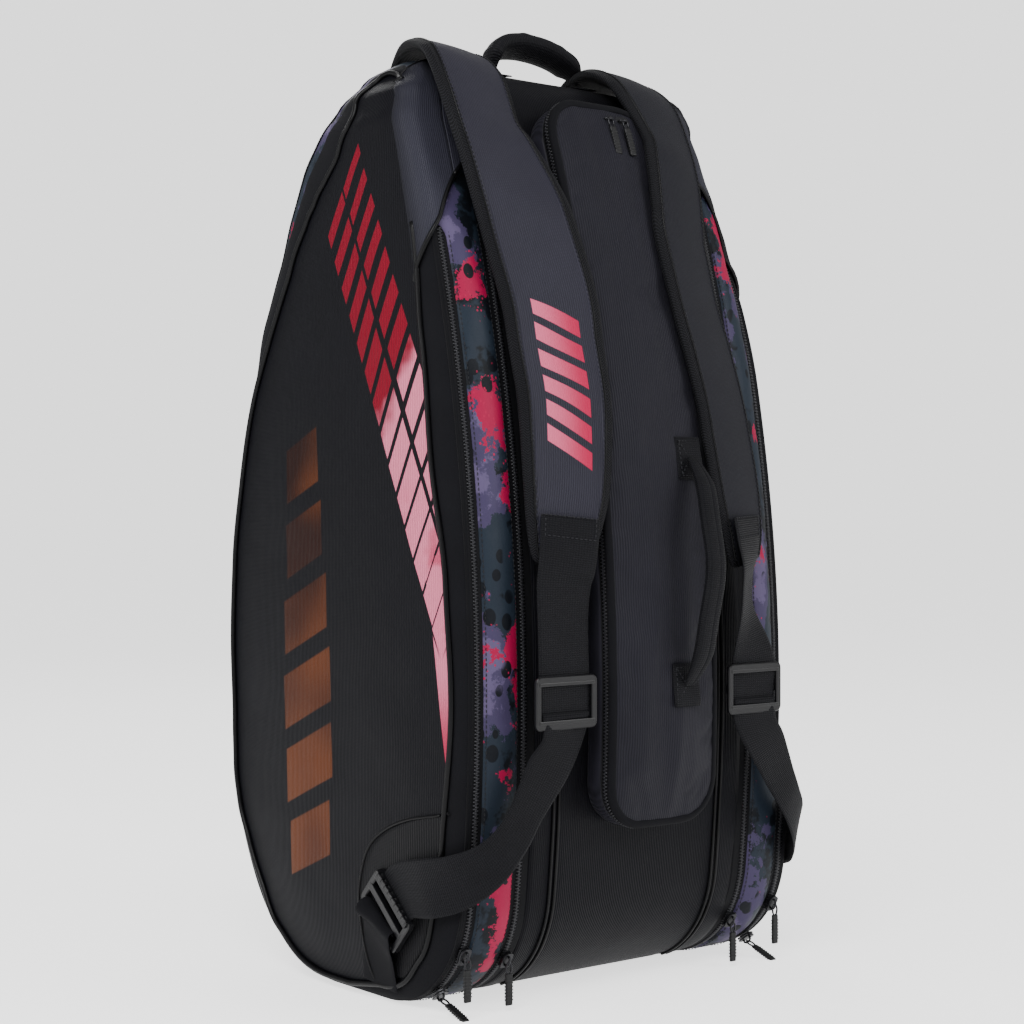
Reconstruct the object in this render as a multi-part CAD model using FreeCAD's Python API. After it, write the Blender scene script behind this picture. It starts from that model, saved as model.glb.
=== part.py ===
"""Racket tournament bag that stands on its wide end, in millimetres.

+Z is up, -Y is the strap side and X runs across the stack of compartments.
The origin is on the ground, in the middle of the flat base.
Every shell is a slice of one closed outline, drawn in the YZ plane from lines and tangent arcs.
"""
import FreeCAD, Part
import math
import os

V = FreeCAD.Vector
X_AXIS, Y_AXIS, Z_AXIS = V(1, 0, 0), V(0, 1, 0), V(0, 0, 1)

# Outline of the bag in the YZ plane.
TOP_Z = 750.0            # apex of the narrow end
BACK_Y = -166.0          # furthest reach of the strap side
BACK_Z = 240.0           # height of that reach
BACK_R = 1400.0          # long arc of the strap side
FRONT_Y = 172.0          # furthest reach of the front side
FRONT_R = 400.0          # shoulder between the upright and the slanting front
FRONT_LEAN = math.radians(30)
APEX_R = 52.0
BACK_CORNER_R = 90.0
FRONT_CORNER_R = 160.0

# Places across the stack.
INNER_ZIP_X = 122.0      # plane between the middle compartment and a wing
OUTER_ZIP_X = 167.0      # plane between a wing and its cover
COVER_X = 178.0          # where the rim of a cover ends
FACE_X = 187.0           # outer face of the cover
PANEL_INSET = 9.0        # the cover is smaller all round than the outline
ZIP_GAP = 0.3            # half of the gap between two zipped bodies
TAPE = 8.0               # width of one half of a zip's tape
RIM_TAPE = 6.0
WALL = 4.0               # padded wall
TAPE_T = 1.4
TAPE_SINK = 1.0

# Back pocket.
POCKET_HALF = 57.0
POCKET_LOW, POCKET_HIGH = 139.0, 712.0
POCKET_DEPTH = 25.0
POCKET_CORNER = 34.0
POCKET_WALL = 3.0
POCKET_SKIN = 3.0

# Shoulder straps.
STRAP_X = 102.0
STRAP_HALF = 40.0
STRAP_GAP = 16.0
STRAP_T = 12.0
STRAP_TILT = 20.0        # degrees that the padding leans, because its inner edge rides on the pocket
STRAP_END = 395.0        # height where the padding stops
STRAP_HINGE = 692.0      # height that the strap swings about
YOKE_T = 20.0
WEB_HALF = 25.0
WEB_T = 1.6
WEB_OUT = 22.0           # height of the webbing above the strap side
GLIDE_Z = 240.0
GLIDE_W, GLIDE_H = 60.0, 40.0

# Zip sliders and pulls.
SLIDER_W, SLIDER_L, SLIDER_T = 9.0, 13.0, 4.2
SLIDER_CLEAR = 0.4
PULL_W, PULL_L, PULL_T = 6.0, 33.0, 1.6
PULL_TAIL, PULL_GAP = 1.0, 1.4          # what a pull has past its pivot, and its clearance

GRAB_HALF, GRAB_RISE, GRAB_W, GRAB_T = 50.0, 36.0, 26.0, 7.0
GRAB_Y, GRAB_BASE_Z = -30.0, 752.8
CARRY_LOW, CARRY_HIGH, CARRY_RISE, CARRY_W, CARRY_T = 248.0, 428.0, 32.0, 28.0, 3.0
CARRY_LOW_X, CARRY_HIGH_X = 14.0, 31.0
PATCH_T = 2.0


def centres():
    """Centres of the outline's arcs as (y, z), and the angles where the long back arc starts and ends."""
    back = (BACK_Y + BACK_R, BACK_Z)
    reach = BACK_R - BACK_CORNER_R
    low_back = (back[0] - math.sqrt(reach**2 - (BACK_CORNER_R - BACK_Z) ** 2), BACK_CORNER_R)
    apex_z = TOP_Z - APEX_R
    apex = (back[0] - math.sqrt((BACK_R - APEX_R) ** 2 - (apex_z - BACK_Z) ** 2), apex_z)
    normal = (math.cos(FRONT_LEAN), math.sin(FRONT_LEAN))
    distance = apex[0] * normal[0] + apex[1] * normal[1] + APEX_R
    front_y = FRONT_Y - FRONT_R
    front = (front_y, (distance - FRONT_R - normal[0] * front_y) / normal[1])
    low_front = (FRONT_Y - FRONT_CORNER_R, FRONT_CORNER_R)
    top_angle = math.atan2(apex[1] - back[1], apex[0] - back[0])
    low_angle = math.atan2(low_back[1] - back[1], low_back[0] - back[0]) + 2 * math.pi
    return back, low_back, apex, front, low_front, top_angle, low_angle


BACK_C, LOW_BACK_C, APEX_C, FRONT_C, LOW_FRONT_C, TOP_ANGLE, LOW_ANGLE = centres()


def on_circle(centre, radius, angle, x=0.0):
    return V(x, centre[0] + radius * math.cos(angle), centre[1] + radius * math.sin(angle))


def line(a, b):
    return Part.LineSegment(a, b).toShape()


def arc(centre, radius, start, end, x=0.0):
    points = [on_circle(centre, radius, start + (end - start) * k, x) for k in (0, 0.5, 1)]
    return Part.Arc(*points).toShape()


def outline(x, inset):
    """The closed outline at x, moved inwards by inset."""
    down, flat = 1.5 * math.pi, 0.0
    r = {k: v - inset for k, v in dict(lb=BACK_CORNER_R, lf=FRONT_CORNER_R, f=FRONT_R,
                                       a=APEX_R, b=BACK_R).items()}
    return Part.Wire([
        line(on_circle(LOW_BACK_C, r["lb"], down, x), on_circle(LOW_FRONT_C, r["lf"], down, x)),
        arc(LOW_FRONT_C, r["lf"], down, 2 * math.pi, x),
        line(on_circle(LOW_FRONT_C, r["lf"], flat, x), on_circle(FRONT_C, r["f"], flat, x)),
        arc(FRONT_C, r["f"], flat, FRONT_LEAN, x),
        line(on_circle(FRONT_C, r["f"], FRONT_LEAN, x), on_circle(APEX_C, r["a"], FRONT_LEAN, x)),
        arc(APEX_C, r["a"], FRONT_LEAN, TOP_ANGLE, x),
        arc(BACK_C, r["b"], TOP_ANGLE, LOW_ANGLE, x),
        arc(LOW_BACK_C, r["lb"], LOW_ANGLE, down, x),
    ])


def slab(x1, x2, inset):
    """Solid slice of the outline between two planes of constant x."""
    return Part.Face(outline(x1, inset)).extrude(V(x2 - x1, 0, 0))


def ring(x1, x2, outer, inner):
    return slab(x1, x2, outer).cut(slab(x1, x2, inner))


def box(x1, x2, y1, y2, z1, z2):
    return Part.makeBox(x2 - x1, y2 - y1, z2 - z1, V(x1, y1, z1))


def prism(points, direction):
    """Flat polygon pushed along direction."""
    return Part.Face(Part.makePolygon(points + points[:1])).extrude(direction)


def back_angle(z, radius=BACK_R):
    """Angle about the back arc's centre of a point at height z on the strap side."""
    return math.pi - math.asin((z - BACK_Z) / radius)


def band(centre, inner_r, outer_r, start, end, x1, x2):
    """Part of a thick cylinder about an axis along X, between two angles."""
    face = Part.Face(Part.Wire([
        arc(centre, inner_r, start, end, x1),
        line(on_circle(centre, inner_r, end, x1), on_circle(centre, outer_r, end, x1)),
        arc(centre, outer_r, end, start, x1),
        line(on_circle(centre, outer_r, start, x1), on_circle(centre, inner_r, start, x1)),
    ]))
    return face.extrude(V(x2 - x1, 0, 0))


def back_band(low_out, high_out, z_high, z_low, x1, x2):
    """Layer over the strap side, low_out to high_out above it, between two heights."""
    inner_r, outer_r = BACK_R + low_out, BACK_R + high_out
    return band(BACK_C, inner_r, outer_r, back_angle(z_high, inner_r), back_angle(z_low, inner_r), x1, x2)


def mirrored(shape):
    return shape.mirror(V(0, 0, 0), X_AXIS)


def rounded_plate(half, low, high, corner, y1, y2):
    """Upright plate with rounded corners, used to cut the pocket's outline."""
    plate = box(-half, half, y1, y2, low, high)
    upright = [e for e in plate.Edges
               if abs(e.Vertexes[0].Point.y - e.Vertexes[1].Point.y) > 1]
    return plate.makeFillet(corner, upright)


# --- the middle compartment -------------------------------------------------------------------
def middle_nodes():
    edge = INNER_ZIP_X - ZIP_GAP
    tape_inner = edge - TAPE
    tape = ring(-edge, -tape_inner, TAPE_SINK, TAPE_SINK + TAPE_T)
    ridge_x, ridge_half, ridge_h = 88.0, 1.6, 2.4
    ridge = back_band(0, ridge_h, POCKET_HIGH, BACK_CORNER_R, -ridge_x - ridge_half, -ridge_x + ridge_half)
    board_t = 3.0
    board = box(-112, 112, LOW_BACK_C[0] + 4, LOW_FRONT_C[0] - 4, WALL, WALL + board_t)
    return {
        "centre_band": ring(-tape_inner, tape_inner, 0, WALL),
        "centre_zip_tapes": Part.makeCompound([tape, mirrored(tape)]),
        "ridge_pipings": Part.makeCompound([ridge, mirrored(ridge)]),
        "base_board": board,
    }


# --- the pocket on the strap side --------------------------------------------------------------
def pocket_layer(low_out, high_out, inset):
    """Layer of the pocket between two heights above the strap side, inset from its outline."""
    far = 300.0
    cutter = rounded_plate(POCKET_HALF - inset, POCKET_LOW + inset, POCKET_HIGH - inset,
                           POCKET_CORNER - inset, BACK_Y - far, 0)
    margin = 2.0
    layer = back_band(low_out, high_out, POCKET_HIGH + margin, POCKET_LOW - margin,
                      -POCKET_HALF - margin, POCKET_HALF + margin)
    return layer.common(cutter)


def pocket_nodes():
    wall_h = POCKET_DEPTH - POCKET_SKIN - 2 * ZIP_GAP - TAPE_T
    wall = pocket_layer(0, wall_h, 0).cut(pocket_layer(-1, wall_h + 1, POCKET_WALL))
    tape_low = pocket_layer(wall_h, wall_h + TAPE_T, 0).cut(pocket_layer(wall_h - 1, wall_h + 3, TAPE))
    skin_low = POCKET_DEPTH - POCKET_SKIN
    skin = pocket_layer(skin_low + TAPE_T, POCKET_DEPTH, 0)
    tape_high = pocket_layer(skin_low, skin_low + TAPE_T, 0).cut(
        pocket_layer(skin_low - 1, skin_low + 3, TAPE))
    return {
        "pocket_wall": wall,
        "pocket_zip_tape_outer": tape_low,
        "pocket_panel": skin,
        "pocket_zip_tape_inner": tape_high,
    }


def pull_plate(x, y, z):
    """Zip pull hanging in the XZ plane, with its upper end at z."""
    return box(x - PULL_W / 2, x + PULL_W / 2, y - PULL_T / 2, y + PULL_T / 2, z - PULL_L, z)


def slider_body(length_axis="z"):
    """Zip slider about the origin: X across the teeth, outward is -Y, length along Z."""
    body = box(-SLIDER_W / 2, SLIDER_W / 2, -SLIDER_T, 0, -SLIDER_L / 2, SLIDER_L / 2)
    slot = box(-SLIDER_W, SLIDER_W, -SLIDER_T + 1.2, -SLIDER_T / 2, -SLIDER_L / 4, SLIDER_L / 4)
    body = body.cut(slot)
    if length_axis == "x":
        body.rotate(V(0, 0, 0), Y_AXIS, 90)
    return body


def pocket_slider_nodes():
    """Two sliders side by side at the right end of the pocket's top edge, each with its pull."""
    nodes = {}
    top_z = POCKET_HIGH - 5.0
    radius = BACK_R + POCKET_DEPTH + SLIDER_CLEAR
    angle = back_angle(top_z, radius)
    seat = on_circle(BACK_C, radius, angle)
    tilt = math.degrees(math.pi - angle)
    for name, x in (("a", 8.0), ("b", 24.0)):
        slider = slider_body("x")
        slider.rotate(V(0, 0, 0), X_AXIS, -tilt)
        slider.translate(V(x, seat.y, seat.z))
        nodes[f"pocket_slider_{name}"] = slider
        reach = SLIDER_T + PULL_T / 2 + PULL_GAP
        pivot = on_circle(BACK_C, radius + reach, angle)
        pull = pull_plate(x, 0, PULL_TAIL)
        pull.rotate(V(0, 0, 0), X_AXIS, -tilt)
        pull.translate(V(0, pivot.y, pivot.z))
        nodes[f"pocket_pull_{name}"] = pull
    return nodes


# --- handles ------------------------------------------------------------------------------------
def arch(half, rise, thickness):
    """Radius, centre offset and half angle of a round arch with that half span and rise."""
    radius = (half**2 + rise**2) / (2 * rise)
    return radius, radius - rise, math.asin(min(1.0, half / radius)), thickness


def grab_handle():
    """Padded loop over the narrow end, narrowed towards its two sewn ends."""
    radius, drop, _, thickness = arch(GRAB_HALF, GRAB_RISE, GRAB_T)
    centre = V(0, GRAB_Y - GRAB_W / 2, GRAB_BASE_Z - drop)
    outer = Part.makeCylinder(radius, GRAB_W, centre, Y_AXIS)
    inner = Part.makeCylinder(radius - thickness, GRAB_W, centre, Y_AXIS)
    reach, neck, spread = 60.0, 0.8, 18.0
    keep = prism([V(-reach, GRAB_Y - neck, GRAB_BASE_Z), V(-reach, GRAB_Y + neck, GRAB_BASE_Z),
                  V(-reach, GRAB_Y + GRAB_W / 2, GRAB_BASE_Z + spread),
                  V(-reach, GRAB_Y + GRAB_W / 2, GRAB_BASE_Z + reach),
                  V(-reach, GRAB_Y - GRAB_W / 2, GRAB_BASE_Z + reach),
                  V(-reach, GRAB_Y - GRAB_W / 2, GRAB_BASE_Z + spread)], V(2 * reach, 0, 0))
    return outer.cut(inner).common(keep)


def grab_tabs():
    """Two sewn tabs on the apex that the grab handle hangs in."""
    tab_w, tab_len, tab_t = 18.0, 24.0, 2.2
    x = GRAB_HALF - GRAB_T / 2
    half_angle = tab_w / 2 / APEX_R
    middle = math.acos((GRAB_Y - APEX_C[0]) / APEX_R)
    tab = band(APEX_C, APEX_R, APEX_R + tab_t, middle - half_angle, middle + half_angle,
               -x - tab_len / 2, -x + tab_len / 2)
    return Part.makeCompound([tab, mirrored(tab)])


def carry_handle():
    """Bowed webbing loop, drawn upright and then leaned to lie along the pocket's face."""
    half, clear = (CARRY_HIGH - CARRY_LOW) / 2, 1.2
    radius, drop, _, thickness = arch(half, CARRY_RISE, CARRY_T)
    centre = V(-CARRY_W / 2, drop, 0)
    outer = Part.makeCylinder(radius, CARRY_W, centre, X_AXIS)
    inner = Part.makeCylinder(radius - thickness, CARRY_W, centre, X_AXIS)
    neck, spread, reach = 1.2, 14.0, 60.0
    keep = prism([V(-neck, 0, -half - 9), V(-CARRY_W / 2, -spread, -half - 9),
                  V(-CARRY_W / 2, -reach, -half - 9), V(CARRY_W / 2, -reach, -half - 9),
                  V(CARRY_W / 2, -spread, -half - 9), V(neck, 0, -half - 9)], V(0, 0, 2 * half + 18))
    handle = outer.cut(inner).common(keep)
    radius_out = BACK_R + POCKET_DEPTH + PATCH_T + clear
    low = on_circle(BACK_C, radius_out, back_angle(CARRY_LOW, radius_out))
    high = on_circle(BACK_C, radius_out, back_angle(CARRY_HIGH, radius_out))
    handle.rotate(V(0, 0, 0), X_AXIS, -math.degrees(math.atan2(high.y - low.y, high.z - low.z)))
    handle.rotate(V(0, 0, 0), Y_AXIS, math.degrees(math.atan2(CARRY_HIGH_X - CARRY_LOW_X, CARRY_HIGH - CARRY_LOW)))
    handle.translate((low + high) * 0.5 + V((CARRY_LOW_X + CARRY_HIGH_X) / 2, 0, 0))
    return handle


def carry_patches():
    """Box-stitched patches that hold the ends of the carry handle."""
    patch_len = 34.0
    parts = []
    for x, z in ((CARRY_HIGH_X, CARRY_HIGH), (CARRY_LOW_X, CARRY_LOW)):
        parts.append(back_band(POCKET_DEPTH, POCKET_DEPTH + PATCH_T, z + patch_len / 2, z - patch_len / 2,
                               x - CARRY_W / 2, x + CARRY_W / 2))
    return Part.makeCompound(parts)


# --- one side: wing, cover and strap, drawn on the left at negative x ---------------------------
def cover_panel():
    """Padded side panel: a shallow dish whose margin slopes up to a flat face."""
    base, slope, thickness, lip = COVER_X - 4.0, 37.0, 4.0, 3.0
    top_inset = PANEL_INSET + slope
    dome = Part.makeLoft([outline(-COVER_X, PANEL_INSET), outline(-FACE_X, top_inset)], True, True)
    hollow = Part.makeLoft([outline(-base, PANEL_INSET + lip), outline(thickness - FACE_X, top_inset)],
                           True, True)
    return slab(-COVER_X, -base, PANEL_INSET).fuse(dome).cut(hollow).removeSplitter()


def wing_nodes():
    inner, outer = INNER_ZIP_X + ZIP_GAP, OUTER_ZIP_X - ZIP_GAP
    divider_t = 3.0
    return {
        "gusset": ring(-(outer - TAPE), -(inner + TAPE), 0, WALL),
        "divider": slab(-(inner + divider_t), -inner, WALL),
        "inner_zip_tape": ring(-(inner + TAPE), -inner, TAPE_SINK, TAPE_SINK + TAPE_T),
        "outer_zip_tape": ring(-outer, -(outer - TAPE), TAPE_SINK, TAPE_SINK + TAPE_T),
    }


def strap_yoke():
    """Top end of the strap, carried over the apex, with the flap that joins it to the cover's rim."""
    start, clear, flap_t = math.radians(58), 0.5, 2.5
    low, inner_x = APEX_R + clear, OUTER_ZIP_X + ZIP_GAP + 0.5
    pad = band(APEX_C, low, APEX_R + YOKE_T, start, TOP_ANGLE, -STRAP_X - STRAP_HALF, -STRAP_X + STRAP_HALF)
    flap = band(APEX_C, low, low + flap_t, start, TOP_ANGLE, -COVER_X, -STRAP_X - STRAP_HALF + 1)
    hem = band(APEX_C, APEX_R - TAPE_SINK, low + flap_t, start, TOP_ANGLE, -COVER_X, -inner_x)
    return pad.fuse([flap, hem]).removeSplitter()


def turned_rectangle(centre, across, normal, half_width, thickness):
    """Rectangle wire: across its width and along its thickness."""
    across, normal = V(across).normalize() * half_width, V(normal).normalize() * (thickness / 2)
    corners = [centre + across + normal, centre - across + normal,
               centre - across - normal, centre + across - normal]
    return Part.makePolygon(corners + corners[:1])


LOCK_Y, LOCK_Z = -82.0, 76.0          # middle of the ladder lock on the cover
LOCK_LEAN = 42.0                      # degrees that its bars lean from level
LOCK_W, LOCK_H, LOCK_T = 58.0, 34.0, 5.0
LOCK_X = FACE_X + 1.0                 # inner face of the lock


def ladder_lock():
    """Plastic ladder lock: a frame with two slots, lying against the cover's lower corner."""
    frame = box(-LOCK_T, 0, -LOCK_W / 2, LOCK_W / 2, -LOCK_H / 2, LOCK_H / 2)
    slot_half, bar = WEB_HALF + 0.6, 5.0
    for low, high in ((-LOCK_H / 2 + bar, -bar / 2), (bar / 2, LOCK_H / 2 - bar)):
        frame = frame.cut(box(-2 * LOCK_T, LOCK_T, -slot_half, slot_half, low, high))
    frame.rotate(V(0, 0, 0), X_AXIS, LOCK_LEAN)
    frame.translate(V(-LOCK_X, LOCK_Y, LOCK_Z))
    return frame


def anchor_tab():
    """Cloth tab from the cover's lower edge up to the lock's lower bar."""
    lean = math.radians(LOCK_LEAN)
    along, up = V(0, math.cos(lean), math.sin(lean)), V(0, -math.sin(lean), math.cos(lean))
    bar = V(-LOCK_X - LOCK_T / 2, LOCK_Y, LOCK_Z) - up * (LOCK_H / 2 + 0.3)
    middle, foot = V(-FACE_X - 2.2, -62, 44), V(-COVER_X - 4.6, -58, 16)
    sections = [turned_rectangle(bar, along, X_AXIS, WEB_HALF - 2, 1.6),
                turned_rectangle(middle, V(0, 0.97, 0.25), X_AXIS, WEB_HALF - 2, 1.6),
                turned_rectangle(foot, Y_AXIS, X_AXIS, WEB_HALF - 2, 1.6)]
    return Part.makeLoft(sections, True, True)


def lower_webbing():
    """Webbing from the tri-glide down and round the corner to the ladder lock."""
    out = WEB_OUT
    top_z, bend_z = GLIDE_Z - GLIDE_H / 2 - 3.0, 184.0
    straight = back_band(out, out + WEB_T, top_z, bend_z, -STRAP_X - WEB_HALF, -STRAP_X + WEB_HALF)
    mid_r = BACK_R + out + WEB_T / 2
    start = on_circle(BACK_C, mid_r, back_angle(bend_z, BACK_R + out), -STRAP_X)
    lean = math.radians(LOCK_LEAN)
    end = V(-LOCK_X - LOCK_T - 3.0, LOCK_Y - 11 * math.sin(lean), LOCK_Z + 11 * math.cos(lean))
    sections = [
        turned_rectangle(start, X_AXIS, Y_AXIS, WEB_HALF, WEB_T),
        turned_rectangle(V(-150, -184, 146), V(0.8, -0.1, -0.55), V(0.35, 1, 0.3), WEB_HALF - 1, WEB_T),
        turned_rectangle(V(-194, -162, 122), V(0.4, -0.45, -0.75), V(0.9, 0.45, 0.2), WEB_HALF - 2, WEB_T),
        turned_rectangle(end, V(0, -math.cos(lean), -math.sin(lean)), X_AXIS, WEB_HALF - 2, WEB_T),
    ]
    return Part.makeCompound([straight, Part.makeLoft(sections, True, True)])


def cover_nodes():
    inner = OUTER_ZIP_X + ZIP_GAP
    piping_out, piping_t = 3.0, 3.4
    return {
        "outer_zip_tape_cover": ring(-(inner + RIM_TAPE), -inner, TAPE_SINK, TAPE_SINK + TAPE_T),
        "rim": ring(-COVER_X, -(inner + RIM_TAPE), TAPE_SINK, PANEL_INSET),
        "cover_panel": cover_panel(),
        "cover_piping": ring(-(COVER_X + piping_out), -COVER_X, PANEL_INSET - piping_t, PANEL_INSET),
        "strap_yoke": strap_yoke(),
        "anchor_tab": anchor_tab(),
        "ladder_lock": ladder_lock(),
        "lower_webbing": lower_webbing(),
    }


def tri_glide():
    """Adjuster that rides on the webbing: the frame in front, its middle bar behind."""
    y_web = BACK_Y - WEB_OUT - WEB_T / 2
    play, bar, plate = 0.5, 5.0, 2.6
    front = y_web - WEB_T / 2 - play
    behind = y_web + WEB_T / 2 + play
    frame = box(-GLIDE_W / 2, GLIDE_W / 2, front - plate, front, -GLIDE_H / 2, GLIDE_H / 2)
    frame = frame.cut(box(-GLIDE_W / 2 + bar, GLIDE_W / 2 - bar, front - 9, front + 9,
                          -GLIDE_H / 2 + bar, GLIDE_H / 2 - bar))
    rail_w = GLIDE_W / 2 - WEB_HALF - play
    for sign in (-1, 1):
        edge = sign * (GLIDE_W / 2 - rail_w / 2)
        frame = frame.fuse(box(edge - rail_w / 2, edge + rail_w / 2, front, behind + 2.0, -6, 6))
    frame = frame.fuse(box(-GLIDE_W / 2, GLIDE_W / 2, behind, behind + 2.0, -4, 4)).removeSplitter()
    frame.translate(V(-STRAP_X, 0, GLIDE_Z))
    return frame


def strap_pad():
    """Padded run of the strap, leaned about its own long chord."""
    middle = BACK_R + STRAP_GAP + STRAP_T / 2
    top_z = STRAP_HINGE - 3.0
    pad = back_band(STRAP_GAP, STRAP_GAP + STRAP_T, top_z, STRAP_END,
                    -STRAP_X - STRAP_HALF, -STRAP_X + STRAP_HALF)
    high = on_circle(BACK_C, middle, back_angle(top_z, middle), -STRAP_X)
    low = on_circle(BACK_C, middle, back_angle(STRAP_END, middle), -STRAP_X)
    pad.rotate(low, high - low, -STRAP_TILT)
    return pad


def strap_nodes():
    x1, x2 = -STRAP_X - STRAP_HALF, -STRAP_X + STRAP_HALF
    low = back_angle(STRAP_HINGE + 1.0, BACK_R + STRAP_GAP)
    root = band(BACK_C, BACK_R + STRAP_GAP, BACK_R + STRAP_GAP + STRAP_T, TOP_ANGLE, low, x1, x2)
    web_top, web_low = STRAP_END - 4.0, GLIDE_Z - GLIDE_H / 2 + 2.0
    webbing = back_band(WEB_OUT, WEB_OUT + WEB_T, web_top, web_low, -STRAP_X - WEB_HALF, -STRAP_X + WEB_HALF)
    return {"strap_root": root, "strap_pad": strap_pad(), "upper_webbing": webbing, "tri_glide": tri_glide()}


def corner_slider(x, degrees):
    """Slider on the lower back corner, turned to the corner's tangent, with a pull hanging from it."""
    angle = math.radians(degrees)
    radius = BACK_CORNER_R - TAPE_SINK + SLIDER_CLEAR
    seat = on_circle(LOW_BACK_C, radius, angle, x)
    slider = slider_body()
    slider.rotate(V(0, 0, 0), X_AXIS, degrees - 180)
    slider.translate(seat)
    pivot = on_circle(LOW_BACK_C, radius + SLIDER_T + PULL_T / 2 + PULL_GAP, angle, x)
    return slider, pivot


def slider_nodes():
    """The two sliders of the outer zip and the one of the inner zip, with their pulls."""
    nodes = {}
    places = {"outer_slider_a": (-OUTER_ZIP_X, 207.0, 0.0), "outer_slider_b": (-OUTER_ZIP_X, 236.0, -70.0),
              "inner_slider": (-INNER_ZIP_X, 214.0, 0.0)}
    for name, (x, degrees, swing) in places.items():
        slider, pivot = corner_slider(x, degrees)
        nodes[name] = slider
        pull = pull_plate(0, 0, PULL_TAIL)
        pull.rotate(V(0, 0, 0), X_AXIS, swing)
        pull.translate(pivot)
        nodes[name.replace("slider", "pull")] = pull
    return nodes


def side_nodes():
    return {**wing_nodes(), **cover_nodes(), **strap_nodes(), **slider_nodes()}


def main():
    nodes = {**middle_nodes(), **pocket_nodes(), **pocket_slider_nodes(),
             "grab_handle": grab_handle(), "grab_tabs": grab_tabs(),
             "carry_handle": carry_handle(), "carry_patches": carry_patches()}
    for name, shape in side_nodes().items():
        nodes["left_" + name] = shape
        nodes["right_" + name] = mirrored(shape)
    os.makedirs("parts", exist_ok=True)
    for name, shape in nodes.items():
        shape.exportStep(f"parts/{name}.step")
        print(name, "valid" if shape.isValid() else "BROKEN", len(shape.Solids), round(shape.Volume / 1000, 2))


main()
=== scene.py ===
"""Looks of the racket tournament bag: fabrics, zips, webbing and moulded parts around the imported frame.

Lengths are in millimetres until a mesh is made, which turns them into metres.
"Inset" is how far a point lies inside the bag's side outline, "out" how far it stands off the strap side.
"""

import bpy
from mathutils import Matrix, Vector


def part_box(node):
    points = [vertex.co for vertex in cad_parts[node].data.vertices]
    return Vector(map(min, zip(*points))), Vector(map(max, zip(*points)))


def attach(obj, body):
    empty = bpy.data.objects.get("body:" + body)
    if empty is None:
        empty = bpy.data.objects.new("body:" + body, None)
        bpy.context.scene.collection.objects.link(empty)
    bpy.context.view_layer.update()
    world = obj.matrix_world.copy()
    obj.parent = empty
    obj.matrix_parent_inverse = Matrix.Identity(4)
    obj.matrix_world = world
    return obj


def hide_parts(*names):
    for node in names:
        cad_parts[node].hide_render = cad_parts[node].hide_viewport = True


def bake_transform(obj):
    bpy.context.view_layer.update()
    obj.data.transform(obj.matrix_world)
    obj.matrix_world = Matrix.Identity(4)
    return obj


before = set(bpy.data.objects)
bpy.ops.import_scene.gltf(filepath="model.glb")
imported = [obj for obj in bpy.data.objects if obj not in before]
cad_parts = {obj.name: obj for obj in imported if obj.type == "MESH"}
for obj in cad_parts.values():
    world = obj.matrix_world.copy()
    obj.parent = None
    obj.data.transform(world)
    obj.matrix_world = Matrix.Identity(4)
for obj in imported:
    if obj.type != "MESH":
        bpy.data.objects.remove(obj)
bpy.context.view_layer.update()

import math
from functools import partialmethod

import bmesh
import bpy
from mathutils import Matrix, Vector, noise
from mathutils.bvhtree import BVHTree

MM = 0.001
RIB_TURN = 2 * math.pi / MM   # divided by a pitch in mm: radians per metre of a weave with that pitch

# Outline of the bag seen from the side, as in the CAD, with softer lower corners.
TOP_Z, BACK_Y, BACK_Z, BACK_R = 750.0, -166.0, 240.0, 1400.0
FRONT_Y, FRONT_R, LEAN = 172.0, 400.0, math.radians(30)
APEX_R, BACK_CORNER_R, FRONT_CORNER_R = 52.0, 96.0, 164.0

RIDGE_X, INNER_ZIP_X, OUTER_ZIP_X, PIPE_X = 88.0, 122.0, 167.0, 181.0
CAP_X = 146.0                 # line on the wing where the two halves of the top cap meet
STRAP_X, GLIDE_Z = 102.0, 240.0
CARRY_LOW_X, CARRY_LOW_Z, CARRY_HIGH_X, CARRY_HIGH_Z = 14.0, 248.0, 31.0, 428.0
POCKET_HALF, POCKET_LOW, POCKET_HIGH, POCKET_CORNER = 57.0, 139.0, 712.0, 34.0


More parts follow.
